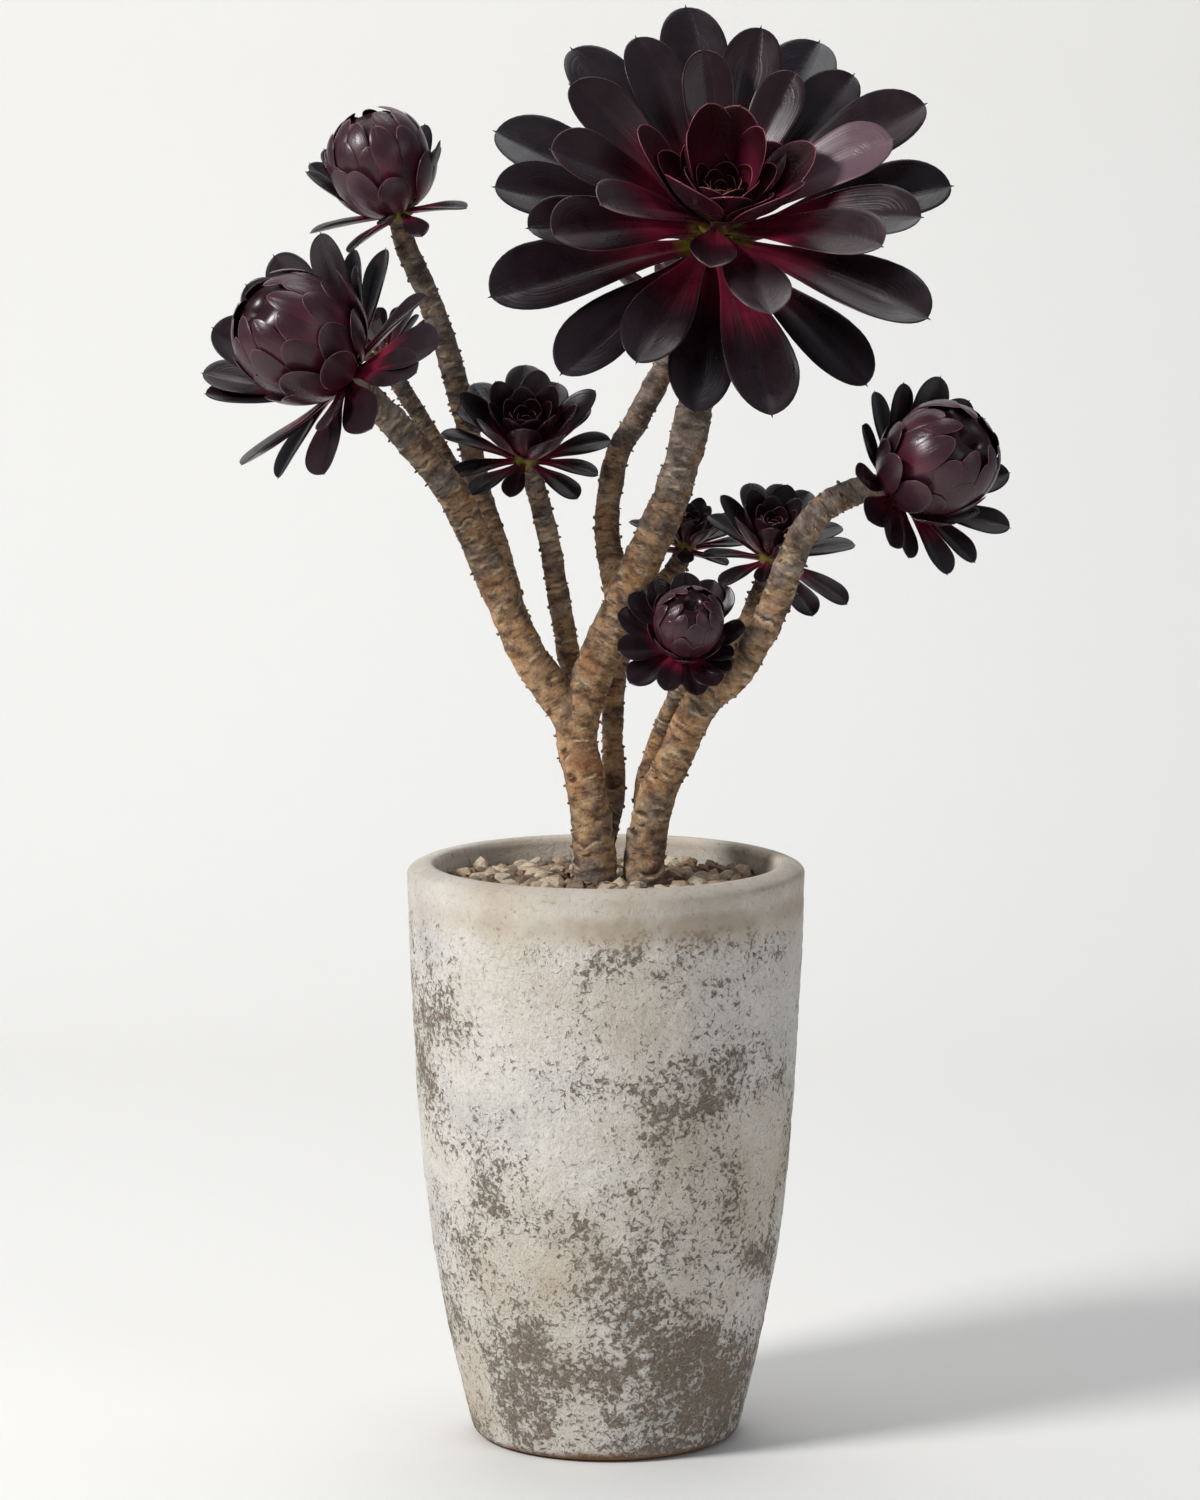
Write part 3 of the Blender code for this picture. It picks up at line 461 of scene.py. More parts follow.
def aeonium_leaf():
    """Waxy succulent leaf: near-black purple on old leaves, crimson towards the base, burgundy and then
    yellow-green in the heart, with a fine paler edge and a soft blue-grey bloom on the gloss."""
    made, tree, shader = new_material("aeonium_leaf")
    place = add(tree, "ShaderNodeTexCoord").outputs["Object"]
    blade = add(tree, "ShaderNodeSeparateXYZ", None,
                {0: add(tree, "ShaderNodeAttribute", {"attribute_name": "blade"}).outputs["Vector"]}).outputs
    look = add(tree, "ShaderNodeSeparateXYZ", None,
               {0: add(tree, "ShaderNodeAttribute", {"attribute_name": "look"}).outputs["Vector"]}).outputs
    rim = add(tree, "ShaderNodeAttribute", {"attribute_name": "rim"}).outputs["Fac"]
    (along, _, under), (age, chance, pallor) = blade, look
    cloud = add(tree, "ShaderNodeTexNoise", None, {"Vector": place, "Scale": 60.0, "Detail": 4.0})
    strand = add(tree, "ShaderNodeCombineXYZ", None, {0: along, 1: rim, 2: chance})
    stretched = add(tree, "ShaderNodeVectorMath", {"operation": "MULTIPLY"},
                    {0: strand, 1: (3.0, 16.0, 40.0)})
    vein = add(tree, "ShaderNodeTexNoise", None, {"Vector": stretched, "Scale": 1.0, "Detail": 3.0})
    # how far up the leaf the red reaches: short on old leaves, nearly to the tip in the heart
    wander = add(tree, "ShaderNodeMath", SUM_OF_PRODUCT, {0: vein, 1: 0.34, 2: along})
    shifted = add(tree, "ShaderNodeMath", SUM_OF_PRODUCT, {0: age, 1: 0.42, 2: wander})
    spread = add(tree, "ShaderNodeMath", SUM_OF_PRODUCT, {0: chance, 1: 0.16, 2: shifted})
    darkness = add(tree, "ShaderNodeMapRange", SOFT, {"Value": spread, "From Min": 0.78, "From Max": 1.20})
    red = add(tree, "ShaderNodeValToRGB", {"stops": [(0.0, "#4A0F1A"), (0.4, "#58122A"), (0.75, "#861B38"),
                                                     (1.0, "#761A2E")]}, {"Fac": age})
    night = add(tree, "ShaderNodeValToRGB", {"stops": [(0.0, "#34090F"), (0.4, "#2C0B12"), (0.75, "#221015"),
                                                       (1.0, "#1A1318")]}, {"Fac": age})
    blend = add(tree, "ShaderNodeMix", OVER, {"Factor": darkness, 6: red, 7: night})
    # yellow-green at the very base, further up on the youngest
    green_reach = add(tree, "ShaderNodeMapRange", None,
                      {"Value": age, "From Max": 0.5, "To Min": 0.40, "To Max": 0.15})
    green_at = add(tree, "ShaderNodeMath", {"operation": "DIVIDE"}, {0: along, 1: green_reach})
    greenness = add(tree, "ShaderNodeMapRange", SOFT,
                    {"Value": green_at, "From Min": 1.0, "From Max": 0.40, "To Max": 0.9})
    body = add(tree, "ShaderNodeMix", OVER, {"Factor": greenness, 6: blend, 7: linear("#7E7A26")})
    bloom = add(tree, "ShaderNodeValToRGB", {"stops": [(0.35, 0.82), (0.65, 1.12)]}, {"Fac": cloud})
    varied = add(tree, "ShaderNodeMix", TIMES, {"Factor": 1.0, 6: body, 7: bloom})
    # paling to mauve: a painted reflection of the gloss on the one leaf, and a slight paling at random on bud
    # scales
    paling_and_painted_reflection = add(tree, "ShaderNodeMapRange", None, {"Value": pallor, "From Min": 1.0, "From Max": 2.0,
                                                    "To Max": 0.42})
    varied = add(tree, "ShaderNodeMix", OVER, {"Factor": paling_and_painted_reflection, 6: varied, 7: linear("#8A6874")})
    # fine edge line, rosy on young leaves and dull purple on old ones
    line = add(tree, "ShaderNodeValToRGB", {"stops": [(0.0, "#A59A4A"), (0.06, "#B4705C"), (0.30, "#A24C5E"),
                                                      (0.50, "#83505A"), (0.66, "#5A3A40"),
                                                      (0.8, "#1C1216")]},
               {"Fac": age})
    far = add(tree, "ShaderNodeMath", {"operation": "ABSOLUTE"}, {0: rim})
    edge = add(tree, "ShaderNodeMapRange", SOFT,
               {"Value": far, "From Min": 0.965, "From Max": 0.99, "To Max": 0.75})
    # the underside is greyer
    below = add(tree, "ShaderNodeMapRange", None,
                {"Value": under, "From Min": 0.0, "From Max": -0.3, "To Max": 0.5})
    backed = add(tree, "ShaderNodeMix", OVER, {"Factor": below, 6: varied, 7: linear("#3C1F29")})
    colour = add(tree, "ShaderNodeMix", OVER, {"Factor": edge, 6: backed, 7: line})
    gloss = add(tree, "ShaderNodeMapRange", None, {"Value": cloud, "From Min": 0.3, "From Max": 0.7,
                                                   "To Min": 0.24, "To Max": 0.38})
    bump = add(tree, "ShaderNodeBump", None, {"Strength": 0.22, "Distance": 0.0008, "Height": vein})
    feed(tree, shader,
         {"Base Color": colour, "Roughness": gloss, "Normal": bump, "IOR": 1.45, "Sheen Weight": 0.02,
          "Sheen Roughness": 0.4, "Sheen Tint": linear("#AEB8D0")})
    return made


# ---- planter -------------------------------------------------------------------------------------

def build_planter(finish):
    """The vessel, turned as one skin with a flaky crust standing out of its outside."""
    profile = np.array([(0.0, 0.0)] + list(POT_OUTSIDE) + list(POT_INSIDE), float)
    run = np.concatenate([[0], np.cumsum(np.hypot(*np.diff(profile, axis=0).T))])
    rim_run = run[len(POT_OUTSIDE)]
    at = np.concatenate([np.linspace(0, run[1], 5)[:-1], np.linspace(run[1], rim_run - 20, 180)[:-1],
                         np.linspace(rim_run - 20, rim_run + 20, 52)[:-1],
                         np.linspace(rim_run + 20, run[-1], 18)])
    radius, height = np.interp(at, run, profile[:, 0]), np.interp(at, run, profile[:, 1])
    # eases the corners of the drawn profile
    radius[5:-2] = (radius[4:-3] + 2 * radius[5:-2] + radius[6:-1]) / 4
    height[6:-2] = (height[5:-3] + 2 * height[6:-2] + height[7:-1]) / 4
    turn = np.linspace(0, 2 * math.pi, 400, endpoint=False)
    shape = np.stack([radius[:, None] * np.cos(turn), radius[:, None] * np.sin(turn),
                      np.broadcast_to(height[:, None], (len(at), len(turn)))], -1) * MM
    flat = shape.reshape(-1, 3)
    outside = np.clip((rim_run - 14 - np.repeat(at, len(turn))) / 12, 0, 1)
    crust = roughness_field(flat, 0.008, 5)
    lumps = roughness_field(flat, 0.045, 3, 3.0)
    normal_out = np.stack([np.tile(np.cos(turn), len(at)), np.tile(np.sin(turn), len(at)), 0 * outside], -1)
    side = np.clip(flat[:, 2:3] / 0.012, 0, 1)
    lift = (np.clip(crust * 1.6, -0.5, 0.45) * 0.6 * MM * (0.1 + 0.9 * outside) + lumps * 0.35 * MM)
    flat += normal_out * side * lift[:, None]
    flat[:, 2] = np.maximum(flat[:, 2], 0.0)
    mesh = outward(grid_mesh("planter", shape), fill=True)
    mesh.shade_smooth()
    points = positions(mesh)
    z = points[:, 2] / MM
    azimuth = np.arctan2(points[:, 1], points[:, 0])
    low = np.clip((150 - z) / 120, 0, 1)
    right = 0.5 + 0.5 * np.cos(azimuth + 0.9)
    band = np.exp(-((z - 250) / 30) ** 2) * np.clip(roughness_field(points, 0.09, 2, 9.0) + 0.5, 0, 1)
    wear = 0.02 + 0.07 * low + 0.07 * right * np.clip((250 - z) / 120, 0, 1) + 0.08 * band
    wear -= 0.3 * np.clip((z - 326) / 12, 0, 1)
    wear += 0.12 * roughness_field(points, 0.05, 3, 5.0)
    stain = np.exp(-((z - 331) / 13) ** 2) * (0.5 + 0.5 * right) + 0.6 * np.clip((z - 340) / 8, 0, 1)
    foot = np.clip((6.5 - z + 3 * roughness_field(points, 0.03, 3)) / 4, 0, 1)
    store(mesh, wear=wear, stain=np.clip(stain, 0, 1), foot=foot)
    standing_for(mesh_object("planter", mesh), finish, "pot", "pot")


# ---- stones --------------------------------------------------------------------------------------

def scattered_stones_tree():
    """Stones thrown on a surface: seven chipped shapes, turned, sized and tinted by chance."""
    tree, inputs = new_tree("scattered_stones", ("Spacing", "Stone Size", "Least Size", "Most Size"),
                            (("Seed", "Int"), ("Finish", "Material")))
    place = add(tree, "GeometryNodeInputPosition")
    shapes = add(tree, "GeometryNodeJoinGeometry")
    for kind in range(7):
        ball = add(tree, "GeometryNodeMeshIcoSphere", None,
                   {"Radius": inputs["Stone Size"], "Subdivisions": 2})
        dents = add(tree, "ShaderNodeTexNoise", {"noise_dimensions": "4D"},
                    {"Vector": place, "W": 3.7 * kind, "Scale": 210.0, "Detail": 1.0})
        centred = add(tree, "ShaderNodeVectorMath", {"operation": "SUBTRACT"},
                      {0: dents.outputs["Color"], 1: (0.5, 0.5, 0.5)})
        size = add(tree, "ShaderNodeVectorMath", {"operation": "SCALE"}, {0: centred, "Scale": 0.0105})
        dented = add(tree, "GeometryNodeSetPosition", None, {"Geometry": ball, "Offset": size.outputs[0]})
        chipped = add(tree, "GeometryNodeConvexHull", None, {0: dented})
        squat = add(tree, "GeometryNodeTransform", None,
                    {"Geometry": chipped, "Scale": (1.0, 0.8 - 0.05 * (kind % 3), 0.62 + 0.06 * (kind % 2))})
        single = add(tree, "GeometryNodeGeometryToInstance", None, {0: squat})
        feed(tree, shapes, {0: single})
    points = add(tree, "GeometryNodeDistributePointsOnFaces", {"distribute_method": "POISSON"},
                 {"Mesh": inputs["Geometry"], "Distance Min": inputs["Spacing"], "Density Max": 60000.0,
                  "Seed": inputs["Seed"]})
    turn = add(tree, "FunctionNodeRandomValue", {"data_type": "FLOAT_VECTOR"},
               {0: (-0.6, -0.6, 0.0), 1: (0.6, 0.6, 6.28), "Seed": inputs["Seed"]})
    size = add(tree, "FunctionNodeRandomValue", {"data_type": "FLOAT"},
               {2: inputs["Least Size"], 3: inputs["Most Size"], "Seed": inputs["Seed"]})
    tint = add(tree, "FunctionNodeRandomValue", {"data_type": "FLOAT"},
               {2: 0.0, 3: 1.0, "Seed": inputs["Seed"]})
    stones = add(tree, "GeometryNodeInstanceOnPoints", None,
                 {"Points": points, "Instance": shapes, "Pick Instance": True,
                  "Rotation": turn, "Scale": size.outputs[1]})
    tinted = add(tree, "GeometryNodeStoreNamedAttribute", {"data_type": "FLOAT", "domain": "INSTANCE"},
                 {"Geometry": stones, "Name": "stone_tint", "Value": tint})
    real = add(tree, "GeometryNodeRealizeInstances", None, {0: tinted})
    finished = add(tree, "GeometryNodeSetMaterial", None, {"Geometry": real, "Material": inputs["Finish"]})
    add(tree, "NodeGroupOutput", None, {0: finished})
    return tree


def stone_bed(name, height, heap, clear):
    """A gently heaped disc round the trunks for stones to lie on; clear is how far it keeps from a trunk."""
    rings, spokes = 34, 96
    radius = np.linspace(2, STONE_FIELD - 3.5, rings)
    turn = np.linspace(0, 2 * math.pi, spokes, endpoint=False)
    x, y = radius[:, None] * np.cos(turn), radius[:, None] * np.sin(turn)
    z = height + heap * np.cos(x / 31 + 1) * np.cos(y / 27) - 1.5 * (radius[:, None] / STONE_FIELD) ** 2
    mesh = grid_mesh(name, np.stack([x, y, np.broadcast_to(z, x.shape)], -1) * MM)
    shape = bmesh.new()
    shape.from_mesh(mesh)
    trunks = [Vector((*STEMS[name][0][:2], 0)) * MM for name in ("left_trunk", "right_trunk")]
    gone = [face for face in shape.faces
            if any((face.calc_center_median() - trunk).xy.length < clear * MM for trunk in trunks)]
    bmesh.ops.delete(shape, geom=gone, context="FACES")
    shape.to_mesh(mesh)
    shape.free()
    return mesh_object(name, mesh)


def build_stones(finish):
    tree = scattered_stones_tree()
    layers = []
    for i, (height, spacing, least,
            most) in enumerate(((334.5, 0.0066, 0.8, 1.2), (340.0, 0.0066, 0.55, 1.5))):
        bed = stone_bed(f"stones_{i}", height, 1.6, 15.5)
        layers.append(grown(bed, tree, {"Spacing": spacing, "Stone Size": 0.0047, "Least Size": least,
                                        "Most Size": most, "Seed": SEED + i, "Finish": finish}))
    mesh = joined("mulch_stones", [layer.data for layer in layers], "stone_tint")
    mesh.shade_flat()
    for layer in layers:
        bpy.data.objects.remove(layer, do_unlink=True)
    standing_for(mesh_object("mulch_stones", mesh), finish, "gravel", "gravel_mulch")


# ---- stems ---------------------------------------------------------------------------------------

def stem_line(knots, step=1.0):
    """Points, radii, tangents, side vectors and running lengths along a stem, one a millimetre."""
    knots = np.array(knots, float)
    along = np.concatenate([[0], np.cumsum(np.linalg.norm(np.diff(knots[:, :3], axis=0), axis=1))])
    at = np.linspace(0, along[-1], int(along[-1] / step) + 1)
    line = curve_through(np.column_stack([along, knots]), at)
    points, radius = line[:, :3], line[:, 3]
    tangent = np.gradient(points, axis=0)
    tangent /= np.linalg.norm(tangent, axis=1)[:, None]
    side = np.zeros_like(points)
    last = np.cross(tangent[0], (0, 1, 0))
    for i, direction in enumerate(tangent):
        last = last - direction * last.dot(direction)
        last /= np.linalg.norm(last)
        side[i] = last
    return points, radius, tangent, side, at


def stem_tube(name, knots, sides=28):
    points, radius, tangent, side, at = stem_line(knots, 3.0)
    other = np.cross(tangent, side)
    turn = np.linspace(0, 2 * math.pi, sides, endpoint=False)
    wall = (points[:, None] + radius[:, None, None] * (side[:, None] * np.cos(turn)[:, None]
                                                       + other[:, None] * np.sin(turn)[:, None]))
    ends = [np.broadcast_to(points[i], (1, sides, 3)) for i in (0, -1)]
    return grid_mesh(name, np.concatenate([ends[0], wall, ends[1]]) * MM)


def bark_field(points):
    """For each point in mm: (angle, place, order) on its stem, the radius there, the share, the way out."""
    lines = {name: stem_line(knots) for name, knots in STEMS.items()}
    near = kdtree.KDTree(sum(len(line[0]) for line in lines.values()))
    places = []
    for order, (name, line) in enumerate(lines.items()):
        for i, point in enumerate(line[0]):
            near.insert(point, len(places))
            places.append((name, i, order))
    near.balance()
    found = []
    for point in points:
        hits = near.find_n(point, 14)
        best = min(hits, key=lambda hit: hit[2] - lines[places[hit[1]][0]][1][places[hit[1]][1]])
        found.append(best[1])
    grain, radius, share, outward_ = [], [], [], []
    for point, hit in zip(points, found):
        name, i, order = places[hit]
        centre, width, tangent, side, at = (part[i] for part in lines[name])
        rest = point - centre
        across, forward = rest.dot(side), rest.dot(np.cross(tangent, side))
        away = math.hypot(across, forward) or 1.0
        grain.append((math.atan2(forward, across), at + rest.dot(tangent), order))
        radius.append(width)
        share.append(at / lines[name][4][-1])
        outward_.append((rest - tangent * rest.dot(tangent)) / away)
    return np.array(grain), np.array(radius), np.array(share), np.array(outward_)


def build_stems(finish):
    """All the stems grown together, with leaf scars winding round them on the golden angle."""
    tubes = [outward(stem_tube(name, knots)) for name, knots in STEMS.items()]
    piece = mesh_object("woody_stems", joined("stems", tubes))
    skin = piece.modifiers.new("skin", "REMESH")
    skin.mode, skin.voxel_size, skin.use_smooth_shade = "VOXEL", 0.00122, True
    ease = piece.modifiers.new("ease", "SMOOTH")
    ease.factor, ease.iterations = 0.5, 4
    mesh = evaluated_mesh(piece)
    piece.modifiers.clear()
    piece.data = mesh
    points = positions(mesh) / MM
    grain, radius, share, away = bark_field(points)
    angle, along = grain[:, 0], grain[:, 1] + 37 * grain[:, 2]
    scar, ledge = np.zeros(len(points)), np.zeros(len(points))
    for step in range(-3, 4):
        k = np.round(along / SCAR_PITCH) + step
        draw = np.sin(k * 12.9898) * 43758.5453 % 1.0  # one number from 0 to 1 for each scar
        across = (angle - k * GOLDEN_ANGLE + math.pi) % (2 * math.pi) - math.pi
        u = across * radius / (SCAR_ACROSS * (0.55 + 0.6 * draw))
        v = (along - k * SCAR_PITCH + 0.9 * u * u) / SCAR_HIGH
        scar = np.maximum(scar, np.clip(1 - u * u - v * v, 0, 1) * (draw > 0.72))
        ledge = np.maximum(ledge,
                           np.clip(1 - u * u, 0, 1) * np.exp(-((v + 1.0) / 0.45) ** 2) * (draw > 0.45))
    scaled = points * MM
    lump = roughness_field(scaled, 0.016, 3)
    chip = roughness_field(scaled, 0.0045, 3, 5.0)
    around = np.column_stack([np.cos(angle), np.sin(angle)]) * 1.3
    wander, patch = [np.array([noise.noise(Vector((x + shift, y, b / pitch + apart * stem)))
                               for (x, y), b, stem in zip(around, along, grain[:, 2])])
                     for shift, pitch, apart in ((0, 16, 3), (9, 9, 5))]
    foot = np.exp(-np.clip(points[:, 2] - 335, 0, None) / 38)
    # flaky rings: the skin rises slowly and breaks off in a lip, closest together at the foot
    gate = np.clip(3.0 * patch - 0.25 + 1.2 * foot, 0, 1)
    collar = (along / (FLAKE_PITCH * (1 - 0.3 * foot)) + 0.35 * wander) % 1.0
    flake = (collar ** 2 - 0.3) * gate
    # painted highlight: the flake lips are paled in colour as if catching the light
    lip_highlight = np.exp(-((collar - 0.95) / 0.06) ** 2) * gate
    # painted shade: the hollow just above each lip is darkened in colour
    low = np.exp(-((collar - 0.08) / 0.07) ** 2) * gate
    lift = 0.50 * ledge - 0.35 * scar + 1.1 * lump + 0.35 * chip + (0.6 + 1.1 * foot) * flake
    lift *= np.clip(radius / 9, 0.55, 1.15)
    points += away * lift[:, None]
    mesh.vertices.foreach_set("co", (points * MM).ravel())
    mesh.update()
    youth = np.clip(share, 0, 1) * np.clip((points[:, 2] - 400) / 200, 0, 1)
    # the pale scars are stored together with the painted lip highlight, and the painted shade of the scar
    # ledges and lip hollows beside them
    store(mesh, stem_grain=np.column_stack([np.cos(angle) * radius, np.sin(angle) * radius, along]),
          scar=np.clip(0.75 * scar + 0.8 * lip_highlight, 0, 1), crack=np.clip(0.75 * ledge + 0.8 * low, 0, 1),
          youth=np.maximum(youth, 0.75 * foot))
    mesh.shade_smooth()
    standing_for(piece, finish, "bark", *STEMS)


def scar_nubs_tree():
    """Stubs of old leaf bases on a stem: one small wedge a point, turned to face along its named vectors."""
    tree, inputs = new_tree("scar_nubs", ("Width", "Height", "Reach"),
                            (("Seed", "Int"), ("Finish", "Material")))
    ball = add(tree, "GeometryNodeMeshUVSphere", None, {"Segments": 8, "Rings": 5, "Radius": 0.5})
    extent = add(tree, "ShaderNodeCombineXYZ", None,
                 {0: inputs["Width"], 1: inputs["Height"], 2: inputs["Reach"]})
    wedge = add(tree, "GeometryNodeTransform", None, {"Geometry": ball, "Scale": extent})
    place = add(tree, "GeometryNodeInputPosition")
    parts = add(tree, "ShaderNodeSeparateXYZ", None, {0: place})
    swept = add(tree, "ShaderNodeMath", {"operation": "MULTIPLY"},
                {0: parts.outputs[0], 1: parts.outputs[0]})
    sag = add(tree, "ShaderNodeMath", {"operation": "MULTIPLY"}, {0: swept, 1: 90.0})
    droop = add(tree, "ShaderNodeCombineXYZ", None, {1: sag})
    crescent = add(tree, "GeometryNodeSetPosition", None, {"Geometry": wedge, "Offset": droop})
    away = add(tree, "GeometryNodeInputNamedAttribute", {"data_type": "FLOAT_VECTOR"}, {"Name": "away"})
    rise = add(tree, "GeometryNodeInputNamedAttribute", {"data_type": "FLOAT_VECTOR"}, {"Name": "rise"})
    facing = add(tree, "FunctionNodeAxesToRotation", {"primary_axis": "Z", "secondary_axis": "Y"},
                 {0: away, 1: rise})
    size = add(tree, "FunctionNodeRandomValue", {"data_type": "FLOAT_VECTOR"},
               {0: (0.5, 0.5, 0.35), 1: (1.15, 1.2, 1.35), "Seed": inputs["Seed"]})
    nubs = add(tree, "GeometryNodeInstanceOnPoints", None,
               {"Points": inputs["Geometry"], "Instance": crescent, "Rotation": facing,
                "Scale": size})
    real = add(tree, "GeometryNodeRealizeInstances", None, {0: nubs})
    smooth = add(tree, "GeometryNodeSetShadeSmooth", None, {0: real, "Shade Smooth": True})
    finished = add(tree, "GeometryNodeSetMaterial", None, {"Geometry": smooth, "Material": inputs["Finish"]})
    add(tree, "NodeGroupOutput", None, {0: finished})
    return tree


def build_scar_nubs(finish):
    """Raised leaf-base stubs, a few of every ten scars, thickest near the young ends of the stems."""
    chance = np.random.default_rng(SEED)
    spots, away, rise, grain, youth = [], [], [], [], []
    for order, knots in enumerate(STEMS.values()):
        points, radius, tangent, side, at = stem_line(knots, SCAR_PITCH)
        for k, (point, width, direction, first) in enumerate(zip(points, radius, tangent, side)):
            share = k / len(points)
            if k < 4 or point[2] < 338 or chance.random() > 0.34 + 0.4 * share:
                continue
            angle = k * GOLDEN_ANGLE + chance.normal(0, 0.25)
            outwards = math.cos(angle) * first + math.sin(angle) * np.cross(direction, first)
            spots.append((point + outwards * (width + 0.1)) * MM)
            away.append(outwards)
            rise.append(direction)
            grain.append((math.cos(angle) * width, math.sin(angle) * width, k * SCAR_PITCH + 37 * order))
            youth.append(share)
    mesh = bpy.data.meshes.new("scar_nubs")
    mesh.from_pydata([tuple(p) for p in spots], [], [])
    store(mesh, away=away, rise=rise, stem_grain=grain, youth=youth)
    piece = grown(mesh_object("leaf_scar_nubs", mesh), scar_nubs_tree(),
                  {"Width": 6.4 * MM, "Height": 2.0 * MM, "Reach": 2.6 * MM, "Seed": SEED, "Finish": finish})
    standing_for(piece, finish, "bark")


# ---- leaves --------------------------------------------------------------------------------------

def blade_template(name, foot, widest, columns, crease, keel):
    """One flat leaf of unit length, half-breadth and half-thickness, closed and with rounded edges.

    It widens from its foot, rounds off as half an ellipse and ends in a small point. Its coordinates are kept
    in the attribute blade, and its place across, from -1 to 1, in rim.
    """
    tip, point = 0.982, 0.05
    s = np.concatenate([np.linspace(0, widest, 12)[:-1],
                        widest + (tip - widest) * np.sin(np.linspace(0, math.pi / 2, 10)), [0.991, 1.0]])
    width = foot + (1 - foot) * np.sin(math.pi / 2 * np.clip(s / widest, 0, 1)) ** 2.4
    width *= np.sqrt(1 - np.clip((s - widest) / (tip - widest), 0, 1) ** 2)
    width = np.maximum(width, point * np.clip((1 - s) / 0.03, 0, 1) * (s > widest))
    thick = np.interp(s, (0, 0.25, 0.6, 0.85, 0.95, 1), (1.25, 1.1, 1.0, 0.75, 0.5, 0.12))
    across = np.sin(np.linspace(-math.pi / 2, math.pi / 2, columns))
    top = (1 - across ** 4) ** 0.5
    rows = []
    for along, half, depth in zip(s, width, thick):
        fade = 1 - along ** 6
        upper = depth * top - crease * np.exp(-(across / 0.10) ** 2) * fade
        lower = -depth * top - keel * np.exp(-(across / 0.22) ** 2) * fade * (1 - 0.6 * along)
        ring = [(along, v * half, f) for v, f in zip(across, upper)]
        ring += [(along, v * half, f) for v, f in zip(across[-2:0:-1], lower[-2:0:-1])]
        rows.append(ring)
    points = np.array(rows)
    points[-1, :, 1:] = 0
    base = np.broadcast_to(points[0].mean(0), (1, points.shape[1], 3))
    mesh = outward(grid_mesh(name, np.concatenate([base, points])))
    place = positions(mesh)
    half = np.interp(place[:, 0], s, width).clip(1e-3)
    # the edge line runs round the tip as well as along both sides
    across = np.abs(np.clip(place[:, 1] / half, -1, 1))
    ending = np.clip((place[:, 0] - widest) / (tip - widest), 0, 1)
    reach = np.sqrt(ending ** 2 + np.clip(place[:, 1], -1, 1) ** 2)
    store(mesh, blade=place, rim=np.copysign(np.where(ending > 0, reach, across), place[:, 1]))
    return mesh_object(name, mesh)


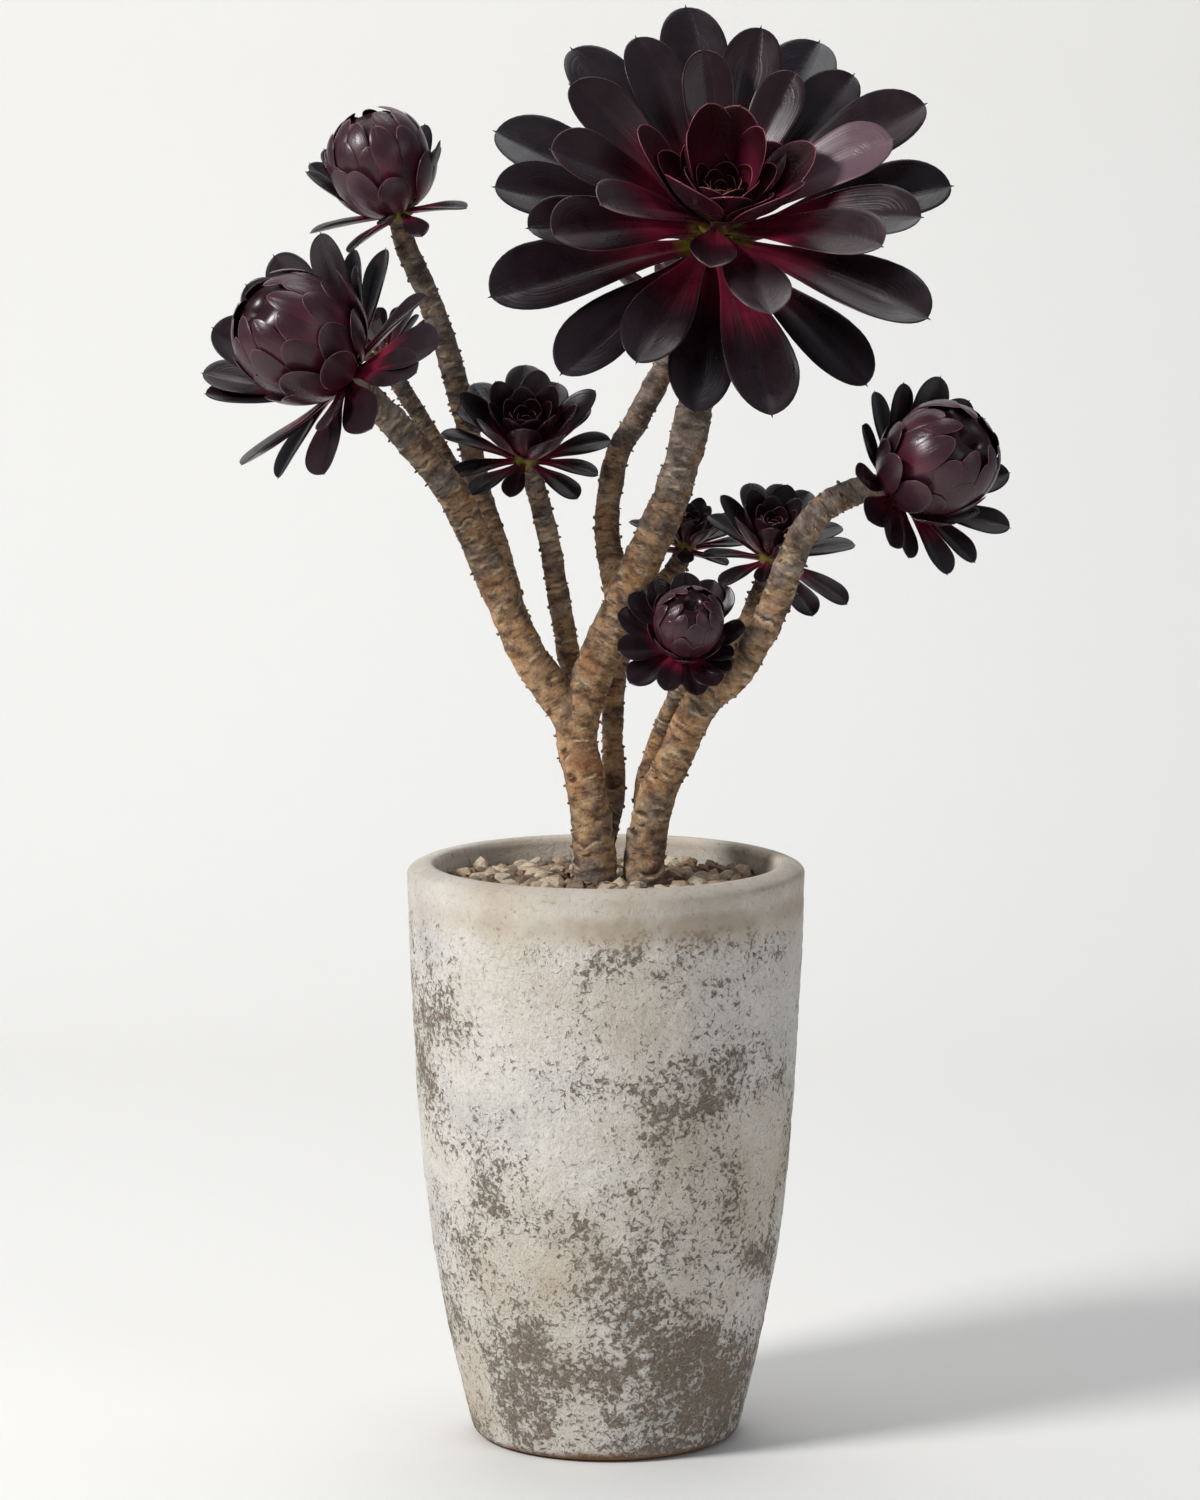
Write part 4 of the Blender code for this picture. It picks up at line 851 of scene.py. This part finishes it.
def leaves_tree():
    """Bends a blade out of every point, whose attributes give its seat, axes, size, turn, lean and look."""
    tree, inputs = new_tree("bent_leaves", ("Vee",), (("Blade", "Object"), ("Finish", "Material")))
    shape = add(tree, "GeometryNodeObjectInfo", None, {"Object": inputs["Blade"]})
    copies = add(tree, "GeometryNodeInstanceOnPoints", None,
                 {"Points": inputs["Geometry"], "Instance": shape.outputs["Geometry"]})
    real = add(tree, "GeometryNodeRealizeInstances", None, {0: copies})
    vector, known = {}, {"vee": inputs["Vee"]}
    for name, parts in (("seat", ""), ("out", ""), ("up", ""), ("size", "length breadth thick"),
                        ("turn", "rise bend fold"), ("lean", "roll sway wave"), ("look", "age chance bloom"),
                        ("blade", "s y f")):
        vector[name] = add(tree, "GeometryNodeInputNamedAttribute", {"data_type": "FLOAT_VECTOR"},
                           {"Name": name}).outputs[0]
        split = add(tree, "ShaderNodeSeparateXYZ", None, {0: vector[name]})
        known.update(zip(parts.split(), split.outputs))
    # worked out line by line: name, operation, terms
    for name, operation, *terms in (
            ("start", "ADD", "rise", "bend"), ("turned", "MULTIPLY", "s", "bend"),
            ("slope", "MULTIPLY_ADD", "turned", -2.0, "start"),
            ("sin0", "SINE", "start"), ("cos0", "COSINE", "start"),
            ("sin", "SINE", "slope"), ("cos", "COSINE", "slope"),
            ("twice", "MULTIPLY", "bend", 2.0), ("arc", "DIVIDE", "length", "twice"),
            ("dx", "SUBTRACT", "sin0", "sin"), ("dz", "SUBTRACT", "cos", "cos0"),
            ("forward", "MULTIPLY", "arc", "dx"), ("raised", "MULTIPLY", "arc", "dz"),
            ("half", "MULTIPLY", "breadth", 0.5), ("aside", "MULTIPLY", "y", "half"),
            ("s2", "MULTIPLY", "s", "s"), ("swing", "MULTIPLY", "sway", "s2"),
            ("swung", "MULTIPLY", "swing", "length"),
            ("sideways", "ADD", "aside", "swung"),
            ("y2", "MULTIPLY", "y", "y"), ("flat", "ABSOLUTE", "y"), ("ridge", "SUBTRACT", "flat", "y2"),
            ("hollow", "MULTIPLY_ADD", "ridge", "vee", "y2"), ("cup", "MULTIPLY", "fold", "hollow"),
            ("cupped", "MULTIPLY", "cup", "breadth"),
            ("skin", "MULTIPLY", "f", "thick"), ("rolled", "MULTIPLY", "roll", "aside"),
            ("phase", "MULTIPLY", "chance", 20.0), ("ripple", "MULTIPLY_ADD", "s", 8.0, "phase"),
            ("sine", "SINE", "ripple"), ("edge", "MULTIPLY", "y2", "y"), ("rippled", "MULTIPLY", "sine",
                                                                          "edge"),
            ("waved", "MULTIPLY", "rippled", "wave"), ("lift1", "ADD", "cupped", "skin"),
            ("lift2", "ADD", "rolled", "waved"), ("lift", "ADD", "lift1", "lift2"), ("back", "MULTIPLY",
                                                                                     "sin", -1.0),
            ("u", "MULTIPLY_ADD", "back", "lift", "forward"), ("w", "MULTIPLY_ADD", "cos", "lift",
                                                               "raised")):
        known[name] = add(tree, "ShaderNodeMath", {"operation": operation},
                          {i: known.get(term, term) for i, term in enumerate(terms)}).outputs[0]
    side = add(tree, "ShaderNodeVectorMath", {"operation": "CROSS_PRODUCT"},
               {0: vector["up"], 1: vector["out"]})
    # place = seat + out * (forward - sin * lift) + up * (raised + cos * lift) + side * sideways
    place = vector["seat"]
    for direction, amount in ((vector["out"], "u"), (vector["up"], "w"), (side, "sideways")):
        along = add(tree, "ShaderNodeVectorMath", {"operation": "SCALE"},
                    {0: direction, "Scale": known[amount]})
        place = add(tree, "ShaderNodeVectorMath", {"operation": "ADD"}, {0: place, 1: along}).outputs[0]
    bent = add(tree, "GeometryNodeSetPosition", None, {"Geometry": real, "Position": place})
    smooth = add(tree, "GeometryNodeSetShadeSmooth", None, {0: bent, "Shade Smooth": True})
    finished = add(tree, "GeometryNodeSetMaterial", None, {"Geometry": smooth, "Material": inputs["Finish"]})
    add(tree, "NodeGroupOutput", None, {0: finished})
    return tree


class Whorl:
    """Leaves gathered for one rosette, each placed in the rosette's own frame, in degrees and mm."""

    def __init__(self, base, axis):
        self.base = np.array(base, float)
        self.up = np.array(axis, float) / np.linalg.norm(axis)
        self.right = np.cross((0, 1, 0), self.up)
        self.right /= np.linalg.norm(self.right)
        self.back = np.cross(self.up, self.right)
        self.leaves = []

    def out(self, heading):
        turn = math.radians(heading)
        return math.cos(turn) * self.right + math.sin(turn) * self.back

    def leaf(self, heading, rise, length, breadth, start, height, bend, age, thick=1.2, fold=0.10, roll=0.0,
             sway=0.0, wave=0.0, bloom=0.0):
        out = self.out(heading)
        seat = self.base + self.up * height + out * start
        chance = (len(self.leaves) * 0.618034 + self.base[0] * 0.37) % 1.0
        self.leaves.append(dict(
            seat=seat * MM, out=out, up=self.up, size=np.array((length, breadth, thick)) * MM,
            turn=(math.radians(rise), math.radians(bend), fold), lean=(roll, sway, wave * MM),
            look=(age, chance, bloom)))

    def points(self, name):
        mesh = bpy.data.meshes.new(name)
        mesh.from_pydata([tuple(leaf["seat"]) for leaf in self.leaves], [], [])
        store(mesh, **{key: [leaf[key] for leaf in self.leaves] for key in self.leaves[0]})
        return mesh_object(name, mesh)


def turned_core(whorl, rings, age, bare=12.0, sides=40):
    """The short fleshy stem inside a rosette, turned from (radius, height) rings, as a closed skin.

    It is green where the leaves join it, and dark from the height called bare.
    """
    rings = np.array([(0.0, rings[0][1])] + list(rings) + [(0.0, rings[-1][1])], float)
    turn = np.linspace(0, 2 * math.pi, sides, endpoint=False)
    ring = np.cos(turn)[:, None] * whorl.right + np.sin(turn)[:, None] * whorl.back
    points = whorl.base + rings[:, 1, None, None] * whorl.up + rings[:, 0, None, None] * ring
    mesh = outward(grid_mesh("core", points * MM))
    height = (positions(mesh) / MM - whorl.base) @ whorl.up
    level = np.zeros_like(height)
    store(mesh, blade=np.column_stack([0.03 + np.clip(height / bare, 0, 1) ** 3, level, level]), rim=level,
          look=np.tile((age, 0.5, 0.0), (len(height), 1)))
    return mesh


def rosette_of(name, parts, core):
    """One piece of a rosette's leaves and its core, keeping what each says of its look."""
    mesh = joined(name, [part.data for part in parts] + [core], "blade", "look", "rim")
    mesh.shade_smooth()
    for part in parts:
        bpy.data.objects.remove(part, do_unlink=True)
    return mesh_object(name, mesh)


def large_rosette(tree, blades, finish):
    """The open rosette: leaf tiers up the crown, heart leaves, and a rose-like spiral in the middle."""
    whorl, heart = Whorl(MAIN_BASE, MAIN_AXIS), Whorl(MAIN_BASE, MAIN_AXIS)
    chance = np.random.default_rng(SEED)
    for heading, tier, length in MAIN_LEAVES:
        turn = math.radians(heading)
        rise = MAIN_RISE + MAIN_TIER_RISE * tier + MAIN_TILT_RISE * math.sin(turn)
        lean = 12.3 + 1.1 * abs(math.sin(math.radians(rise + 8)))
        # the one leaf listed for a painted reflection gets bloom 2.0, which the finish turns into paling to
        # mauve
        whorl.leaf(heading, rise, length + 4, (0.29 + 0.05 * max(tier - 2, 0) / 2) * length, lean - 4,
                   MAIN_TIER * tier, 8, age=1.0 - 0.085 * tier, thick=1.3, fold=0.13,
                   roll=0.28 * math.cos(turn) + chance.normal(0, 0.05), sway=chance.normal(0, 0.018),
                   wave=0.5, bloom=2.0 if (heading, tier) == PAINTED_REFLECTION_LEAF else 0.0)
    for heading, tier, length in HEART_LEAVES:
        rise = MAIN_RISE + MAIN_TIER_RISE * tier + MAIN_TILT_RISE * math.sin(math.radians(heading))
        heart.leaf(heading, rise + 8, length, 0.54 * length, 6, MAIN_TIER * tier, -18,
                   age=0.42 - 0.03 * (tier - 4.5), thick=1.1, fold=0.16, roll=chance.normal(0, 0.05))
    for i in range(HEART_SPIRAL):
        share = i / (HEART_SPIRAL - 1)
        heart.leaf(40 + math.degrees(GOLDEN_ANGLE) * i, 48 + 36 * share ** 0.8, 8 + 44 * (1 - share),
                   6 + 27 * (1 - share), 1 + 8 * (1 - share), 27 + 10 * share, -(17 + 8 * share),
                   age=0.26 * (1 - share), thick=0.8, fold=0.20)
    outer = grown(whorl.points("rosette_points"), tree,
                  {"Blade": blades["spoon"], "Vee": 0.7, "Finish": finish})
    middle = grown(heart.points("heart_points"), tree, {"Blade": blades["scale"], "Finish": finish})
    core = turned_core(whorl, ((10.5, -7), (12.5, -3), (13.2, 4), (13, 24), (9, 34), (4, 38)), 0.5, bare=60)
    standing_for(rosette_of("large_rosette", (outer, middle), core), finish, "leaf", "main_heart",
                 *(f"main_leaf_{i + 1:02d}" for i in range(len(MAIN_LEAVES))))


def bud_shingles(whorl, radius, count=28, loose=9):
    """Broad scales closing over a globe round a small dark hole, with looser ones standing round its foot.

    Each scale leans outwards a little, so its tip lies on the next ones.
    """
    chance = np.random.default_rng(SEED + int(radius))
    centre = radius * BUD_CENTRE
    for i in range(-loose, count):
        share = max(i / (count - 1), 0)
        low = 152 - 22 * share
        high = 98 - 88 * share ** 0.72 + (chance.uniform(-30, 10) if i < 0 else 0)
        lean = chance.uniform(7, 16) if i < 0 else 3.0 + 8 * chance.random() ** 3 * (1 - 0.7 * share)
        layer = radius * (1.03 if i < 0 else 0.985 - 0.035 * share)
        breadth = radius * (0.76 - 0.30 * share) * chance.uniform(0.9, 1.08)
        start = math.radians(low)
        whorl.leaf(math.degrees(GOLDEN_ANGLE) * i + 20, 180 - (low + high) / 2 - lean,
                   layer * math.radians(low - high), breadth, layer * math.sin(start),
                   centre + layer * math.cos(start), (high - low) / 2,
                   age=0.62 - 0.16 * share, thick=0.5, fold=breadth / (7.6 * layer),
                   bloom=chance.uniform(1.0, 1.6) if i < 0 else chance.uniform(1.0, 1.25))


def draw_out_foot(mesh, whorl, centre):
    """Stretches the half of a bud below its widest ring towards its stalk, so the bud is egg-shaped."""
    points = positions(mesh)
    below = np.clip(centre * MM - (points - whorl.base * MM) @ whorl.up, 0, None)
    points -= (BUD_DRAWN - 1) * below[:, None] * whorl.up
    mesh.vertices.foreach_set("co", points.ravel())
    mesh.update()


def small_rosette(name, tree, blades, finish):
    plan = ROSETTES[name]
    whorl = Whorl(plan["base"], plan["axis"])
    scales = Whorl(plan["base"], plan["axis"])
    chance = np.random.default_rng(SEED + len(name))
    collar, bud, breadth = plan["collar"], plan["bud"], plan["breadth"]
    longest = max(length for _, _, length in plan["leaves"])
    for i, (heading, rise, length) in enumerate(plan["leaves"]):
        bend = -0.4 * rise if rise > 10 and bud else 6
        whorl.leaf(heading, rise, length + 2, breadth * length * 1.02, collar - 4, -1.5 - 1.5 * (i % 2),
                   bend, age=0.84, thick=1.15, fold=0.13, roll=chance.normal(0, 0.08),
                   sway=chance.normal(0, 0.03), wave=0.5)
    if bud:
        bud_shingles(scales, bud)
        rings = [(share * bud * 0.88, 1.8 + rise * bud) for share, rise in
                 ((0.30, 0.06), (0.62, 0.29), (0.88, 0.70), (1.0, 1.22), (0.94, 1.56), (0.72, 1.82),
                  (0.42, 1.98), (0.22, 1.80), (0.10, 1.50))]
    else:
        for i in range(26):
            share = i / 25
            scales.leaf(25 + math.degrees(GOLDEN_ANGLE) * i, 40 + 44 * share ** 0.7,
                        longest * (0.84 - 0.62 * share), longest * (0.38 - 0.21 * share),
                        collar * (0.75 - 0.6 * share), 2 + longest * 0.20 * share, -(15 + 9 * share),
                        age=0.80 - 0.30 * share, thick=0.85, fold=0.20)
        rings = [(collar, -1), (collar * 0.9, 4), (collar * 0.4, 2 + longest * 0.18)]
    core = turned_core(whorl, [(collar * 0.96, -5)] + rings, 0.55 if bud else 0.8)
    lower = grown(whorl.points("ring_points"), tree,
                  {"Blade": blades["spoon"], "Vee": 0.6, "Finish": finish})
    upper = grown(scales.points("heart_points"), tree, {"Blade": blades["scale"], "Finish": finish})
    if bud:
        draw_out_foot(upper.data, scales, bud * BUD_CENTRE)
    piece = rosette_of(f"{name}_rosette", (lower, upper), core)
    standing_for(piece, finish, "leaf", f"{name}_bud", f"{name}_leaves")


def hidden_rosette(name, tree, blade, finish, count=24):
    plan = HIDDEN_ROSETTES[name]
    whorl = Whorl(plan["base"], plan["axis"])
    collar, spread = plan["collar"], plan["spread"]
    chance = np.random.default_rng(SEED + len(name))
    for i in range(count):
        share = i / (count - 1)
        whorl.leaf(math.degrees(GOLDEN_ANGLE) * i, 4 + 70 * share ** 1.1, spread * (1 - 0.62 * share),
                   spread * (0.34 - 0.14 * share), collar - 3 - 3 * share, 8 * share, 6 - 22 * share,
                   age=0.95 - 0.5 * share, thick=1.1, fold=0.12, roll=chance.normal(0, 0.06))
    piece = grown(whorl.points("hidden_points"), tree, {"Blade": blade, "Finish": finish})
    core = turned_core(whorl, ((collar, -3), (collar, 4), (collar * 0.5, 11)), 0.8)
    standing_for(rosette_of(f"{name}_leaves", (piece,), core), finish, "leaf", name)


# ---- stage ---------------------------------------------------------------------------------------

def studio():
    """A pale floor, a curved backdrop behind the plant, soft light, and the camera."""
    made, tree, shader = new_material("studio_paper")
    feed(tree, shader, {"Base Color": linear("#EFEDE9"), "Roughness": 0.9})
    turn = np.linspace(0, math.pi / 2, 72)
    profile = [(1.2 + 0.8 * math.sin(a), 0.8 - 0.8 * math.cos(a)) for a in turn]
    profile += [(2.0, 4.5)]
    backdrop = np.array([[(x, y, z) for x in np.linspace(-1.4, 1.4, 9)] for y, z in profile])
    floor = np.array([[(x, y, 0.0) for x in np.linspace(-14, 14, 9)] for y in np.linspace(-14, 14, 9)])
    for name, points in (("studio_backdrop", backdrop), ("studio_floor", floor)):
        points[:, :, 2] -= 0.0003
        paper = mesh_object(name, grid_mesh(name, points, closed_round=False))
        paper.data.materials.append(made)
    world = bpy.data.worlds.new("studio")
    world.use_nodes = True
    world.node_tree.nodes["Background"].inputs["Color"].default_value = linear("#DCE6F4")
    world.node_tree.nodes["Background"].inputs["Strength"].default_value = 0.27
    bpy.context.scene.world = world
    bpy.context.scene.view_settings.view_transform = "Standard"
    for name, place, target, size, power in (
            ("key", (-2.3, -1.5, 2.3), (0, 0, 0.45), 0.9, 100), ("fill", (2.2, -1.8, 1.3), (0, 0, 0.45), 1.8,
                                                                 9),
            ("backdrop", (0.0, 0.6, 3.2), (0, 2.0, 0.6), 1.8, 28)):
        lamp = bpy.data.lights.new(name, "AREA")
        lamp.shape, lamp.size, lamp.energy = "DISK", size, power
        holder = bpy.data.objects.new(name, lamp)
        holder.visible_camera = False
        holder.location = place
        holder.rotation_euler = (Vector(target) - Vector(place)).to_track_quat("-Z", "Y").to_euler()
        bpy.context.scene.collection.objects.link(holder)
    lens = bpy.data.cameras.new("camera")
    lens.lens, lens.sensor_width = 134.66, 36
    camera = bpy.data.objects.new("camera", lens)
    camera.location = (-0.0036, -3.36, 0.879)
    camera.rotation_euler = (math.radians(82.24), 0, 0)
    bpy.context.scene.collection.objects.link(camera)
    bpy.context.scene.camera = camera


studio()
build_planter(limewashed_clay())
build_stones(river_gravel())
soil = bpy.data.objects["potting_soil"]
soil.data.materials.clear()
soil.data.materials.append(damp_soil())
bark = corky_bark()
build_stems(bark)
build_scar_nubs(bark)
leaf_skin = aeonium_leaf()
bending = leaves_tree()
blades = {"spoon": blade_template("spoon_blade", **SPOON_LEAF, columns=13, crease=0.55, keel=0.9),
          "scale": blade_template("scale_blade", **SCALE_LEAF, columns=11, crease=0.2, keel=0.25)}
large_rosette(bending, blades, leaf_skin)
for rosette in ROSETTES:
    small_rosette(rosette, bending, blades, leaf_skin)
for rosette in HIDDEN_ROSETTES:
    hidden_rosette(rosette, bending, blades["spoon"], leaf_skin)
for blade in blades.values():
    bpy.data.objects.remove(blade, do_unlink=True)
